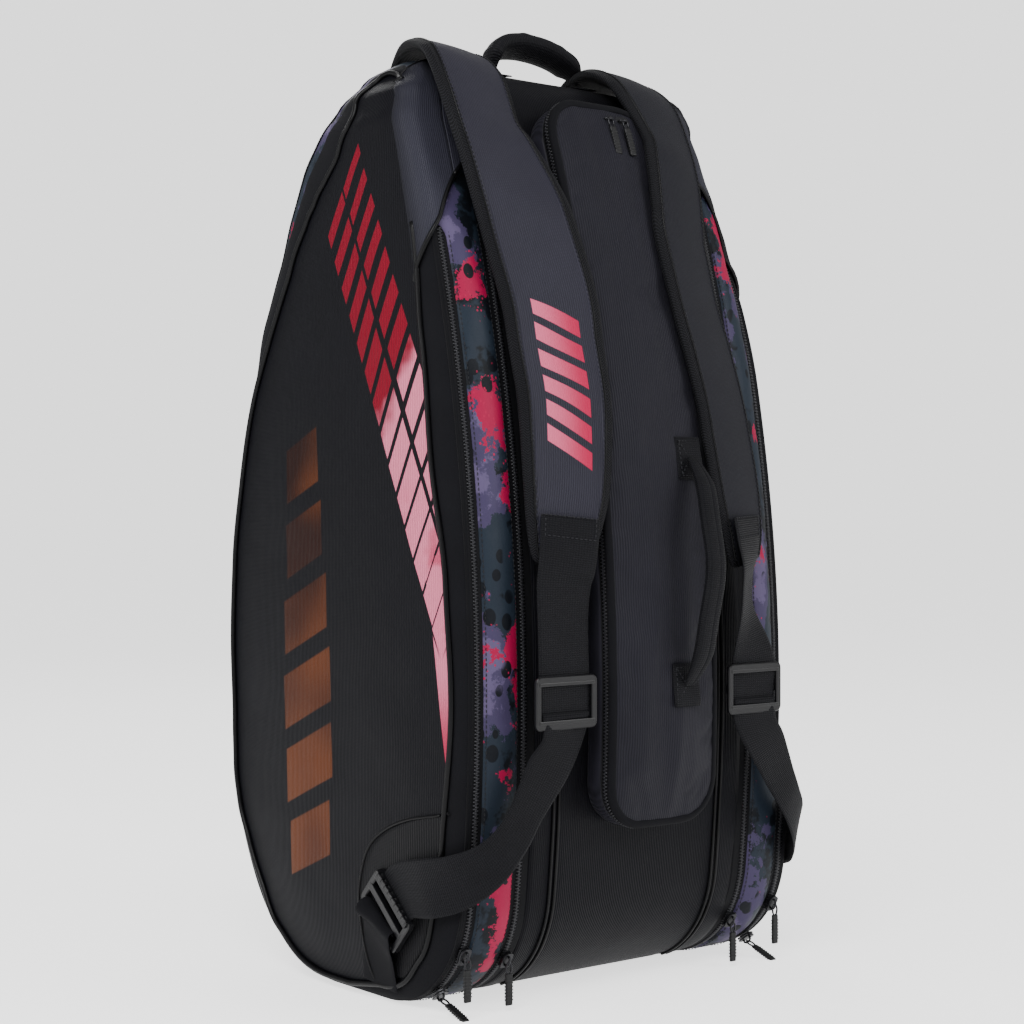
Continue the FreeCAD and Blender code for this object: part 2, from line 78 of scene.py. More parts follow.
# --- outline --------------------------------------------------------------------------------------
class Rail:
    """Closed outline sampled by length; at(s) gives (y, z, ny, nz) with the normal pointing outwards."""

    def __init__(self, back_corner, front_corner, step=6.5):
        back = (BACK_Y + BACK_R, BACK_Z)
        low_back = (back[0] - math.sqrt((BACK_R - back_corner) ** 2 - (back_corner - BACK_Z) ** 2), back_corner)
        apex_z = TOP_Z - APEX_R
        apex = (back[0] - math.sqrt((BACK_R - APEX_R) ** 2 - (apex_z - BACK_Z) ** 2), apex_z)
        n = (math.cos(LEAN), math.sin(LEAN))
        far = apex[0] * n[0] + apex[1] * n[1] + APEX_R
        front = (FRONT_Y - FRONT_R, (far - FRONT_R - n[0] * (FRONT_Y - FRONT_R)) / n[1])
        low_front = (FRONT_Y - front_corner, front_corner)
        top = math.atan2(apex[1] - back[1], apex[0] - back[0])
        low = math.atan2(low_back[1] - back[1], low_back[0] - back[0]) + 2 * math.pi
        arcs = [(low_front, front_corner, -math.pi / 2, 0), (front, FRONT_R, 0, LEAN),
                (apex, APEX_R, LEAN, top), (back, BACK_R, top, low), (low_back, back_corner, low, 1.5 * math.pi)]
        points = []
        for centre, radius, start, end in arcs:
            count = max(3, round(abs(end - start) * radius / step))
            for k in range(count + 1):
                a = start + (end - start) * k / count
                c, s = math.cos(a), math.sin(a)
                self.add(points, (centre[0] + radius * c, centre[1] + radius * s, c, s), step)
        self.add(points, points[0], step)
        self.points = points
        self.s = [0.0]
        for a, b in zip(points, points[1:]):
            self.s.append(self.s[-1] + math.dist(a[:2], b[:2]))
        self.length = self.s[-1]
        self.apex, self.back = apex, back

    def add(self, points, new, step):
        """Adds a point, and points on the straight run before it."""
        if points:
            old = points[-1]
            gap = math.dist(old[:2], new[:2])
            if gap < 1e-6:
                return
            for k in range(1, int(gap / step)):
                t = k / int(gap / step)
                points.append(tuple(o + (w - o) * t for o, w in zip(old, new)))
        points.append(new)

    def at(self, s):
        s %= self.length
        low, high = 0, len(self.s) - 1
        while high - low > 1:
            mid = (low + high) // 2
            low, high = (mid, high) if self.s[mid] <= s else (low, mid)
        t = (s - self.s[low]) / (self.s[high] - self.s[low])
        return tuple(a + (b - a) * t for a, b in zip(self.points[low], self.points[high]))

    def find(self, z, strap_side):
        """Length along the outline where it passes height z on the strap side or on the front."""
        best = None
        for (a, b), s in zip(zip(self.points, self.points[1:]), self.s):
            if (a[1] - z) * (b[1] - z) <= 0 and a[1] != b[1] and (b[1] < a[1]) == strap_side:
                best = s + math.dist(a[:2], b[:2]) * (z - a[1]) / (b[1] - a[1])
        return best

    def find_angle(self, degrees):
        """Length along the outline where its normal has the given direction."""
        for (a, b), s in zip(zip(self.points, self.points[1:]), self.s):
            low, high = direction(a[2], a[3]), direction(b[2], b[3])
            if low <= degrees < high:
                return s + math.dist(a[:2], b[:2]) * (degrees - low) / (high - low)
        return 0.0


RAIL = Rail(BACK_CORNER_R, FRONT_CORNER_R)
LOOP = [RAIL.length * k / 310 for k in range(310)]


def lerp_table(table, value):
    """Smooth lookup in [(key, value), ...]."""
    if value <= table[0][0]:
        return table[0][1]
    for (k0, v0), (k1, v1) in zip(table, table[1:]):
        if value <= k1:
            t = (value - k0) / (k1 - k0)
            t = t * t * (3 - 2 * t)
            return v0 + (v1 - v0) * t
    return table[-1][1]


STRAP_SIDE_INSET = [(0, 14), (25, 22), (70, 27), (130, 21), (240, 14), (330, 18), (430, 27), (520, 23), (610, 14),
                    (740, 8)]
FRONT_INSET = [(0, 8), (25, 14), (54, 20), (91, 19), (131, 15.5), (169, 13), (204, 12), (273, 9.5), (343, 11.5),
               (417, 13.5), (488, 14.5), (543, 26), (597, 29), (637, 36), (652, 40), (671, 44), (690, 45), (710, 41),
               (724, 37)]
TOP_INSET = [(30, 35), (45, 30), (60, 24), (75, 19), (90, 15), (105, 13), (130, 12), (145, 7), (160, 7)]
FRONT_SHRINK = [(0, 2), (60, 6), (200, 3), (300, 2), (420, 6), (488, 4), (546, -7), (586, -9), (627, -14), (660, -15),
                (695, -8), (721, -1)]
STRAP_SHRINK = [(120, 0), (190, 14), (500, 16), (640, 24), (760, 24)]
TAPER = {-1: [(690, 1), (715, 0.88), (735, 0.62), (752, 0.3)],
         1: [(560, 1), (620, 0.9), (655, 0.82), (690, 0.72), (720, 0.55), (752, 0.3)]}


def direction(ny, nz):
    """Angle of the outline's normal in degrees: 0 to the front, 90 up, 180 and more to the strap side."""
    a = math.degrees(math.atan2(nz, ny))
    return a if a > -90.5 else a + 360


def pipe_inset(s):
    """How far the piping lies inside the outline."""
    y, z, ny, nz = RAIL.at(s)
    angle = direction(ny, nz)
    if angle < 30.5:
        front = lerp_table(FRONT_INSET, z)
        return front + (lerp_table(STRAP_SIDE_INSET, z) - front) * min(1, max(0, (-y - 20) / 40))
    if angle < 160:
        return lerp_table(TOP_INSET, angle)
    return lerp_table(STRAP_SIDE_INSET, z)


def shrink(x, s):
    """How much the outer compartments draw in from the outline: they are fuller in the middle of the bag."""
    if abs(x) < 123:
        return 0.0
    _, z, ny, nz = RAIL.at(s)
    angle = direction(ny, nz)
    most = lerp_table([(-60, 0), (-20, 1), (40, 1), (140, 0)], angle) * lerp_table(FRONT_SHRINK, z)
    most += lerp_table([(110, 0), (165, 1)], angle) * (lerp_table(STRAP_SHRINK, z) if x > 0 else 0.0)
    return most * min(1.0, (abs(x) - 123) / 44) ** 2


def taper(x, z):
    """The outer compartments get thinner towards the narrow end."""
    if abs(x) <= 123:
        return x
    share = lerp_table(TAPER[1 if x > 0 else -1], z)
    return math.copysign(123 + (abs(x) - 123) * share, x)


def wall_point(x, s, inset):
    y, z, ny, nz = RAIL.at(s)
    inset = inset + shrink(x, s)
    z -= nz * inset
    return Vector((taper(x, z), y - ny * inset, z))


def back_point(x, z, out):
    """Point standing off the strap side at the height where the side itself is z high."""
    y, zz, ny, nz = RAIL.at(RAIL.find(z, True))
    return Vector((x, y + ny * out, zz + nz * out))


def back_frame(z):
    """Tangent running down the strap side and outward normal, at height z."""
    _, _, ny, nz = RAIL.at(RAIL.find(z, True))
    return Vector((0, -nz, ny)) * (1 if ny < 0 else -1), Vector((0, ny, nz))


def ripple(x, s, seed, size):
    return noise.noise(Vector((x / size, s / size, seed)))


# --- meshes ---------------------------------------------------------------------------------------
def new_object(name, mesh, mats):
    """Object for a mesh, with one material or a list of them."""
    for mat in mats if isinstance(mats, (list, tuple)) else [mats]:
        mesh.materials.append(mat)
    obj = bpy.data.objects.new(name, mesh)
    bpy.context.collection.objects.link(obj)
    return obj


def from_bmesh(name, bm, mats):
    mesh = bpy.data.meshes.new(name)
    bm.to_mesh(mesh)
    bm.free()
    return new_object(name, mesh, mats)


def make(name, verts, faces, mats, weave=None, face_mats=None, smooth=True):
    """Mesh object from millimetre points; weave holds (across, along) per point for the fabric nodes."""
    mesh = bpy.data.meshes.new(name)
    mesh.from_pydata([Vector(v) * MM for v in verts], [], faces)
    if weave:
        attribute = mesh.attributes.new("weave", "FLOAT_VECTOR", "POINT")
        for item, (a, b) in zip(attribute.data, weave):
            item.vector = (a * MM, b * MM, 0)
    obj = new_object(name, mesh, mats)
    if face_mats:
        mesh.polygons.foreach_set("material_index", face_mats)
    bm = bmesh.new()
    bm.from_mesh(mesh)
    bmesh.ops.recalc_face_normals(bm, faces=bm.faces)
    bm.to_mesh(mesh)
    bm.free()
    if smooth:
        mesh.polygons.foreach_set("use_smooth", [True] * len(mesh.polygons))
    return obj


def grid_faces(rows, cols, close_rows, close_cols):
    faces = []
    for i in range(rows if close_rows else rows - 1):
        for j in range(cols if close_cols else cols - 1):
            a, b = i * cols + j, i * cols + (j + 1) % cols
            c, d = ((i + 1) % rows) * cols + (j + 1) % cols, ((i + 1) % rows) * cols + j
            faces.append((a, b, c, d))
    return faces


def sheet_faces(rows, cols):
    """Faces of a closed sheet with a front and a back layer, its front border, and which faces are the back."""
    count = rows * cols
    front = grid_faces(rows, cols, False, False)
    border = list(range(cols)) + [r * cols + cols - 1 for r in range(1, rows)]
    border += [(rows - 1) * cols + c for c in range(cols - 2, -1, -1)] + [r * cols for r in range(rows - 2, 0, -1)]
    faces = front + [tuple(count + i for i in reversed(f)) for f in front]
    faces += [(a, a + count, b + count, b) for a, b in zip(border, border[1:] + border[:1])]
    return faces, border, [0] * len(front) + [1] * len(front) + [0] * len(border)


def add_tube(verts, faces, rings):
    """Adds a short closed tube through rings of equally many points."""
    start, count = len(verts), len(rings[0])
    for row in range(len(rings) - 1):
        for j in range(count):
            p, q = start + row * count + j, start + row * count + (j + 1) % count
            faces.append((p, q, q + count, p + count))
    faces.append(tuple(start + j for j in range(count))[::-1])
    faces.append(tuple(start + (len(rings) - 1) * count + j for j in range(count)))
    verts += [p for loop in rings for p in loop]


def sweep(name, sections, mats, closed, caps=True, weave=None, pick=None):
    """Closed cross-sections joined into a tube; open runs get flat end caps."""
    rows, cols = len(sections), len(sections[0])
    verts = [p for section in sections for p in section]
    faces = grid_faces(rows, cols, closed, True)
    if not closed and caps:
        faces.append(tuple(range(cols))[::-1])
        faces.append(tuple((rows - 1) * cols + j for j in range(cols)))
    face_mats = [pick(f) if len(f) == 4 else 0 for f in faces] if pick else None
    return make(name, verts, faces, mats, weave, face_mats)


def finish_piece(obj, body, replaces=(), level=0, blend=None):
    if level:
        modifier = obj.modifiers.new("smooth", "SUBSURF")
        modifier.levels = modifier.render_levels = level
    if replaces:
        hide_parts(*replaces)
    if blend:
        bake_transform(obj)
    else:
        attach(obj, body)
    return obj


def ring(name, mats, section, stations=None, closed=True, pick=None):
    """Piece that runs round the outline. section(s) gives a closed list of (x, inset)."""
    stations = stations or LOOP
    sections, weave = [], []
    for s in stations:
        profile = section(s)
        sections.append([wall_point(x, s, inset) for x, inset in profile])
        weave += [(x, s) for x, inset in profile]
    return sweep(name, sections, mats, closed, weave=weave, pick=pick)


def shell_profile(xs, outer, thickness):
    """Outer points and the inner points under them, as one closed profile."""
    front = [(x, outer(x)) for x in xs]
    return front + [(x, inset + thickness) for x, inset in reversed(front)]


def cord(name, points, radius, mat, closed=False, sides=8, squeeze=1.0):
    """Round cord through points; squeeze flattens it along the second frame axis."""
    count = len(points)
    sections, weave, run = [], [], 0.0
    reference = None
    for i, p in enumerate(points):
        before = points[(i - 1) % count] if closed or i else p
        after = points[(i + 1) % count] if closed or i < count - 1 else p
        tangent = (after - before).normalized()
        if reference is None:
            reference = Vector((1, 0, 0)) if abs(tangent.x) < 0.9 else Vector((0, 0, 1))
        u = (reference - tangent * reference.dot(tangent)).normalized()
        reference = u
        v = tangent.cross(u)
        run += (p - points[i - 1]).length if i else 0.0
        angles = [2 * math.pi * k / sides for k in range(sides)]
        sections.append([p + u * math.cos(a) * radius + v * math.sin(a) * radius * squeeze for a in angles])
        weave += [(radius * a, run) for a in angles]
    return sweep(name, sections, mat, closed, weave=weave)


def ribbon(name, stations, mats, profile, pick=None, caps=True):
    """Strip swept along stations of (centre, across, normal, half_width, thickness).

    profile is a closed list of (a, h): a from -1 to 1 across, h from 0 to 1 through the thickness.
    """
    sections, weave, run = [], [], 0.0
    for i, (centre, across, normal, half, thick) in enumerate(stations):
        run += (centre - stations[i - 1][0]).length if i else 0.0
        sections.append([centre + across * a * half + normal * h * thick for a, h in profile])
        weave += [(a * half + (h * thick if abs(a) > 0.98 else 0), run) for a, h in profile]
    return sweep(name, sections, mats, False, caps, weave, pick)


def smooth_path(points, count):
    """Evenly spaced points on a Catmull-Rom curve; works on tuples of numbers."""
    rows = [tuple(p) for p in points]
    rows = [rows[0]] + rows + [rows[-1]]
    dense = []
    for a, b, c, d in zip(rows, rows[1:], rows[2:], rows[3:]):
        for k in range(24):
            t = k / 24
            dense.append(tuple(
                0.5 * (2 * q + (r - p) * t + (2 * p - 5 * q + 4 * r - s) * t**2 + (3 * q - p - 3 * r + s) * t**3)
                for p, q, r, s in zip(a, b, c, d)))
    dense.append(rows[-1])
    lengths = [0.0]
    for a, b in zip(dense, dense[1:]):
        lengths.append(lengths[-1] + math.dist(a[:3], b[:3]))
    out, j = [], 0
    for k in range(count):
        want = lengths[-1] * k / (count - 1)
        while j < len(lengths) - 2 and lengths[j + 1] < want:
            j += 1
        t = (want - lengths[j]) / max(1e-9, lengths[j + 1] - lengths[j])
        out.append(tuple(p + (q - p) * min(1, t) for p, q in zip(dense[j], dense[j + 1])))
    return out


def tangent_at(points, i, sign=1):
    """Direction of a run of points at one of them, mirrored in x for sign -1."""
    a, b = points[max(0, i - 1)], points[min(len(points) - 1, i + 1)]
    return Vector((sign * (b[0] - a[0]), b[1] - a[1], b[2] - a[2])).normalized()


def flat_profile(rounding=0.12):
    """Cross-section of webbing: flat faces and rounded edges."""
    r = rounding
    return [(-1, 0.35), (-1, 0.65), (-1 + r, 1), (-0.5, 1), (0, 1), (0.5, 1), (1 - r, 1), (1, 0.65),
            (1, 0.35), (1 - r, 0), (0.5, 0), (0, 0), (-0.5, 0), (-1 + r, 0)]


def boxes(name, items, mats, bevel=0.0, segments=2):
    """Several bevelled boxes in one mesh. Each item is (matrix, size)."""
    bm = bmesh.new()
    for matrix, size in items:
        made = bmesh.ops.create_cube(bm, size=1)["verts"]
        bmesh.ops.scale(bm, vec=Vector(size), verts=made)
        if bevel:
            edges = {e for v in made for e in v.link_edges}
            made = bmesh.ops.bevel(bm, geom=list(edges), offset=min(bevel, min(size) * 0.4), segments=segments,
                                   affect="EDGES", profile=0.5)["verts"]
        island = set(made)
        grow = list(made)
        while grow:
            v = grow.pop()
            for e in v.link_edges:
                w = e.other_vert(v)
                if w not in island:
                    island.add(w)
                    grow.append(w)
        bmesh.ops.transform(bm, matrix=matrix, verts=list(island))
    bmesh.ops.scale(bm, vec=Vector((MM, MM, MM)), verts=bm.verts)
    return from_bmesh(name, bm, mats)


def joined(name, parts):
    """One object with the given name from several, with their materials merged."""
    bm = bmesh.new()
    mats = []
    for part in parts:
        remap = []
        for mat in part.data.materials:
            if mat not in mats:
                mats.append(mat)
            remap.append(mats.index(mat))
        part.data.polygons.foreach_set("material_index", [remap[p.material_index] for p in part.data.polygons])
        bm.from_mesh(part.data)
        bpy.data.objects.remove(part)
    return from_bmesh(name, bm, mats)


def place(origin, x_axis, y_axis, z_axis):
    """Matrix whose columns are the given axes."""
    m = Matrix.Identity(4)
    for k, axis in enumerate((x_axis, y_axis, z_axis)):
        for r in range(3):
            m[r][k] = axis[r]
    m.translation = origin
    return m


def rounded_loop(width, height, radius, per_corner=5):
    points = []
    for cx, cy, start in ((1, 1, 0), (-1, 1, 90), (-1, -1, 180), (1, -1, 270)):
        for k in range(per_corner + 1):
            a = math.radians(start + 90 * k / per_corner)
            points.append((cx * (width / 2 - radius) + radius * math.cos(a),
                           cy * (height / 2 - radius) + radius * math.sin(a)))
    return points


def moulded_frame(name, matrix, width, height, bar, thick, mat, bars=(), teeth=()):
    """Rounded rectangular frame with cross bars, drawn in local XY and thick along local Z."""
    outer, inner = rounded_loop(width, height, 5.0), rounded_loop(width - 2 * bar, height - 2 * bar, 2.0)
    e = 0.8
    outer_face = rounded_loop(width - 2 * e, height - 2 * e, 4.4)
    inner_face = rounded_loop(width - 2 * bar + 2 * e, height - 2 * bar + 2 * e, 2.6)
    rings = [(outer_face, -thick / 2), (outer, -thick / 2 + e), (outer, thick / 2 - e), (outer_face, thick / 2),
             (inner_face, thick / 2), (inner, thick / 2 - e), (inner, -thick / 2 + e), (inner_face, -thick / 2)]
    verts = [matrix @ Vector((x, y, z)) for loop, z in rings for x, y in loop]
    parts = [make(name + "_f", verts, grid_faces(len(rings), len(outer), True, True), mat, smooth=False)]
    items = [(matrix @ Matrix.Translation((0, y, z)), (width - bar, h, t)) for y, z, h, t in bars]
    items += [(matrix @ Matrix.Translation((x, y, z)), size) for x, y, z, size in teeth]
    if items:
        parts.append(boxes(name + "_b", items, mat, bevel=0.7))
    return joined(name, parts)


def stitches(name, points, normals, mat, length=2.6, gap=1.3, radius=0.42, lift=0.15):
    """Row of thread stitches lying on a surface, along a polyline."""
    verts, faces = [], []
    run, want = 0.0, gap
    for (a, b), n in zip(zip(points, points[1:]), normals):
        step = (b - a).length
        if step < 1e-6:
            continue
        t = (b - a) / step
        side = t.cross(n).normalized()
        while want <= run + step:
            centre = a + t * (want - run) + n * lift
            turns = [2 * math.pi * k / 5 for k in range(5)]
            add_tube(verts, faces, [[
                centre + t * along * length + side * math.cos(turn) * radius * size + n * math.sin(turn) * radius * size
                for turn in turns] for along, size in ((-0.5, 0.35), (-0.25, 1.0), (0.25, 1.0), (0.5, 0.35))])
            want += length + gap
        run += step
    return make(name, verts, faces, mat)


# --- materials ------------------------------------------------------------------------------------
class Nodes:
    """Short way to write a node material."""

    def __init__(self, name):
        self.mat = bpy.data.materials.new(name)
        self.mat.use_nodes = True
        self.tree = self.mat.node_tree
        self.bsdf = self.tree.nodes["Principled BSDF"]

    def new(self, kind, **settings):
        node = self.tree.nodes.new("ShaderNode" + kind)
        for key, value in settings.items():
            setattr(node, key, value)
        return node

    def link(self, a, b):
        self.tree.links.new(a, b)

    def put(self, socket, value):
        """Sets a socket to a number or a colour, or links another node's output to it."""
        if isinstance(value, (int, float)):
            socket.default_value = value
        elif isinstance(value, tuple):
            socket.default_value = (*value, 1.0)
        else:
            self.link(value, socket)

    def math(self, operation, a, b=None, c=None, clamp=False):
        node = self.new("Math", operation=operation, use_clamp=clamp)
        for socket, value in zip(node.inputs, (a, b, c)):
            if value is not None:
                self.put(socket, value)
        return node.outputs[0]

    add = partialmethod(math, "ADD")
    sub = partialmethod(math, "SUBTRACT")
    mul = partialmethod(math, "MULTIPLY")
    div = partialmethod(math, "DIVIDE")
    mad = partialmethod(math, "MULTIPLY_ADD")
    largest = partialmethod(math, "MAXIMUM")
    size = partialmethod(math, "ABSOLUTE")
    fract = partialmethod(math, "FRACT")
    floor = partialmethod(math, "FLOOR")
    sine = partialmethod(math, "SINE")

    def wave(self, phase):
        """0 to 1 and back along a sine."""
        return self.mad(self.sine(phase), 0.5, 0.5)

    def edge(self, high, low, sharp):
        """1 where high is over low and 0 where it is under, changing faster for a larger sharp."""
        return self.mad(self.sub(high, low), sharp, 0.5, clamp=True)

    def off_middle(self, value):
        """Distance from the middle of the unit step that value lies in."""
        return self.size(self.sub(self.fract(value), 0.5))

    def coords(self):
        return self.new("TexCoord").outputs["Object"]

    def weave(self):
        return self.new("Attribute", attribute_name="weave").outputs["Vector"]

    def split(self, vector):
        node = self.new("SeparateXYZ")
        self.link(vector, node.inputs[0])
        return node.outputs

    def combine(self, x, y, z):
        node = self.new("CombineXYZ")
        for socket, value in zip(node.inputs, (x, y, z)):
            self.put(socket, value)
        return node.outputs[0]

    def given(self, kind, output, settings, **values):
        """Output of a new node whose sockets take the given values."""
        node = self.new(kind, **settings)
        for key, value in values.items():
            self.put(node.inputs[key.replace("_", " ")], value)
        return node.outputs[output]

    def noise(self, vector, scale, detail=3.0, rough=0.55):
        return self.given("TexNoise", "Fac", {}, Vector=vector, Scale=scale, Detail=detail, Roughness=rough)

    def voronoi(self, vector, scale):
        return self.given("TexVoronoi", "Distance", {}, Vector=vector, Scale=scale)

    def step(self, value, low, high):
        """Smooth 0 to 1 as value goes from low to high."""
        return self.given("MapRange", "Result", {"interpolation_type": "SMOOTHSTEP"}, Value=value, From_Min=low,
                          From_Max=high)

    def blend(self, factor, a, b):
        node = self.new("Mix", data_type="RGBA")
        # the colour sockets share their names with the number sockets, so they are taken by index
        for index, value in ((0, factor), (6, a), (7, b)):
            self.put(node.inputs[index], value)
        return node.outputs[2]

    def bump(self, height, strength, distance, normal=None):
        below = {"Normal": normal} if normal else {}
        return self.given("Bump", "Normal", {}, Height=height, Strength=strength, Distance=distance, **below)

    def out(self, colour, rough, normal, **values):
        for key, value in (("Base Color", colour), ("Roughness", rough), ("Normal", normal)):
            self.put(self.bsdf.inputs[key], value)
        for key, value in values.items():
            self.bsdf.inputs[key.replace("_", " ")].default_value = value
        return self.mat


def srgb(text):
    channels = [int(text[k:k + 2], 16) / 255 for k in (0, 2, 4)]
    return tuple(c / 12.92 if c <= 0.04045 else ((c + 0.055) / 1.055) ** 2.4 for c in channels)


CHARCOAL, CHARCOAL_LIGHT = srgb("040407"), srgb("0d0d13")
STRAP_TONES = srgb("1c1b23"), srgb("302f3a")
CRIMSON, COPPER_DARK, COPPER = srgb("74051e"), srgb("200803"), srgb("431c0a")


def ribbed_base(n, axis, pitch=1.9, tone=(CHARCOAL, CHARCOAL_LIGHT)):
    """Colour, roughness and normal of the ribbed weave; ribs repeat along one coordinate."""
    position = n.coords() if axis != "weave" else n.weave()
    x, y, z = n.split(position)
    across = {"x": x, "y": y, "weave": x}[axis]
    along = {"x": z, "y": z, "weave": y}[axis]
    wander = n.mul(n.noise(position, 9.0, 2.0), 0.0035)
    phase = n.mul(n.add(across, wander), RIB_TURN / pitch)
    rib = n.wave(phase)
    dash = n.wave(n.mul(along, RIB_TURN / 1.1))
    cloudy = n.noise(position, 14.0, 3.0)
    shade = n.add(n.mul(rib, 0.55), n.mul(cloudy, 0.45))
    colour = n.blend(shade, tone[0], tone[1])
    rough = n.mad(rib, -0.10, 0.50)
    height = n.add(rib, n.mul(dash, 0.25))
    normal = n.bump(height, 0.55, 0.00045)
    normal = n.bump(n.noise(position, 55.0, 3.0), 0.18, 0.002, normal)
    return colour, rough, normal, position


def ribbed(name, axis, pitch=1.9, tone=(CHARCOAL, CHARCOAL_LIGHT), **values):
    n = Nodes(name)
    colour, rough, normal, _ = ribbed_base(n, axis, pitch, tone)
    settings = {"Sheen_Weight": 0.02, "Sheen_Roughness": 0.5, "Specular_IOR_Level": 0.09, **values}
    return n.out(colour, rough, normal, **settings)


def cap_mat(name):
    """Ribbed cloth in the panel's tone at the front seam, with painted light fading in towards the back."""
    n = Nodes(name)
    dark, rough, normal, _ = ribbed_base(n, "weave", 2.0)
    # painted light: a lighter copy of the weave fades in over 50 mm past the seam, for the lit curve of the cap
    light = ribbed_base(n, "weave", 2.0, (srgb("2e2e38"), srgb("464653")))[0]
    _, y, z = n.split(n.coords())
    past_seam = n.sub(n.mad(z, 0.28, -0.2617), y)
    painted_light_fade = n.mul(past_seam, 1 / 0.05, clamp=True)
    return n.out(n.blend(painted_light_fade, dark, light), rough, normal, Sheen_Weight=0.02, Sheen_Roughness=0.5,
                 Specular_IOR_Level=0.09)


def plain_weave(name, tone, scale=900.0, rough=0.62, bump=0.3):
    """Fine plain cloth, for tapes, linings and binding edges."""
    n = Nodes(name)
    position = n.coords()
    x, y, z = n.split(position)
    a = n.sine(n.mul(n.add(x, y), scale * 6.283))
    b = n.sine(n.mul(z, scale * 6.283))
    height = n.mad(n.mul(a, b), 0.5, 0.5)
    cloudy = n.noise(position, 30.0, 3.0)
    colour = n.blend(n.mad(height, 0.4, n.mul(cloudy, 0.6)), tone[0], tone[1])
    return n.out(colour, rough, n.bump(height, bump, 0.0003), Sheen_Weight=0.02, Specular_IOR_Level=0.08)


def webbing_mat(name, pitch=1.7, tone=(srgb("07070a"), srgb("151519"))):
    """Woven webbing with ribs across its width and a tighter edge."""
    n = Nodes(name)
    across, along, _ = n.split(n.weave())
    rib = n.wave(n.mul(along, RIB_TURN / pitch))
    strand = n.wave(n.mul(across, RIB_TURN / 2.4))
    height = n.mad(strand, 0.35, n.mul(rib, 0.65))
    cloudy = n.noise(n.weave(), 60.0, 4.0)
    colour = n.blend(n.mad(height, 0.6, n.mul(cloudy, 0.4)), *tone)
    return n.out(colour, n.mad(height, -0.12, 0.62), n.bump(height, 0.75, 0.0006),
                 Sheen_Weight=0.02, Specular_IOR_Level=0.1)


def twill_mat(name):
    """Herringbone binding tape."""
    n = Nodes(name)
    across, along, _ = n.split(n.weave())
    fold = n.off_middle(n.mul(across, 130.0))
    phase = n.add(n.mul(along, RIB_TURN / 2.1), n.mul(fold, 18.0))
    rib = n.wave(phase)
    colour = n.blend(rib, srgb("070709"), srgb("1a1a1e"))
    return n.out(colour, 0.6, n.bump(rib, 0.8, 0.0006), Sheen_Weight=0.02, Specular_IOR_Level=0.1)


def blotch_mat(name):
    """Coated cloth with a ragged blotched print in slate, lavender and crimson."""
    n = Nodes(name)
    position = n.coords()
    warp = n.noise(position, 44.0, 6.0, 0.72)
    x, y, z = n.split(position)
    stretched = n.combine(x, y, n.mul(z, 0.72))
    big = n.noise(stretched, 17.0, 2.0, 0.5)
    big = n.add(big, n.mul(n.sub(warp, 0.5), 0.42))
    shifted = n.combine(n.add(x, 0.37), n.add(y, 0.21), n.mul(z, 0.8))
    red = n.noise(shifted, 14.0, 2.0, 0.5)
    red = n.add(red, n.mul(n.sub(warp, 0.5), 0.5))
    slate = n.blend(n.step(n.noise(position, 16.0, 5.0, 0.7), 0.44, 0.50), srgb("0e1116"), srgb("1f2731"))
    colour = n.blend(n.step(big, 0.548, 0.556), slate, srgb("3c3550"))
    colour = n.blend(n.step(big, 0.63, 0.66), colour, srgb("544a68"))
    colour = n.blend(n.step(red, 0.610, 0.616), colour, srgb("960f3c"))
    dots = n.voronoi(n.combine(x, y, n.mul(z, 0.8)), 58.0)
    dot_zone = n.mul(n.step(n.noise(shifted, 20.0, 2.0), 0.46, 0.50), n.sub(1.0, n.step(dots, 0.30, 0.32)))
    colour = n.blend(dot_zone, colour, srgb("0d1016"))
    specks = n.sub(1.0, n.step(n.voronoi(shifted, 210.0), 0.16, 0.22))
    colour = n.blend(n.mul(specks, n.step(red, 0.55, 0.58)), colour, srgb("a01440"))
    normal = n.bump(n.noise(position, 700.0, 2.0), 0.12, 0.0004)
    normal = n.bump(n.noise(position, 34.0, 4.0), 0.30, 0.004, normal)
    return n.out(colour, n.mad(warp, 0.15, 0.42), normal, Specular_IOR_Level=0.14)


def curve_of(n, value, points, low, high):
    """Looks value up in a given curve from low..high to the second numbers, linear between points."""
    out_low = min(p[1] for p in points)
    out_high = max(p[1] for p in points)
    node = n.new("FloatCurve")
    scaled = n.div(n.sub(value, low), high - low, clamp=True)
    n.link(scaled, node.inputs["Value"])
    curve = node.mapping.curves[0]
    shaped = [((a - low) / (high - low), (b - out_low) / (out_high - out_low)) for a, b in points]
    curve.points[0].location = shaped[0]
    curve.points[1].location = shaped[-1]
    for place_at in shaped[1:-1]:
        curve.points.new(*place_at)
    for point in curve.points:
        point.handle_type = "VECTOR"
    node.mapping.update()
    return n.mad(node.outputs[0], out_high - out_low, out_low)


def inside(n, value, low, high, soft=0.0004):
    """1 where value lies between two other values."""
    above = n.edge(value, low, 1 / soft)
    below = n.edge(high, value, 1 / soft)
    return n.mul(above, below)


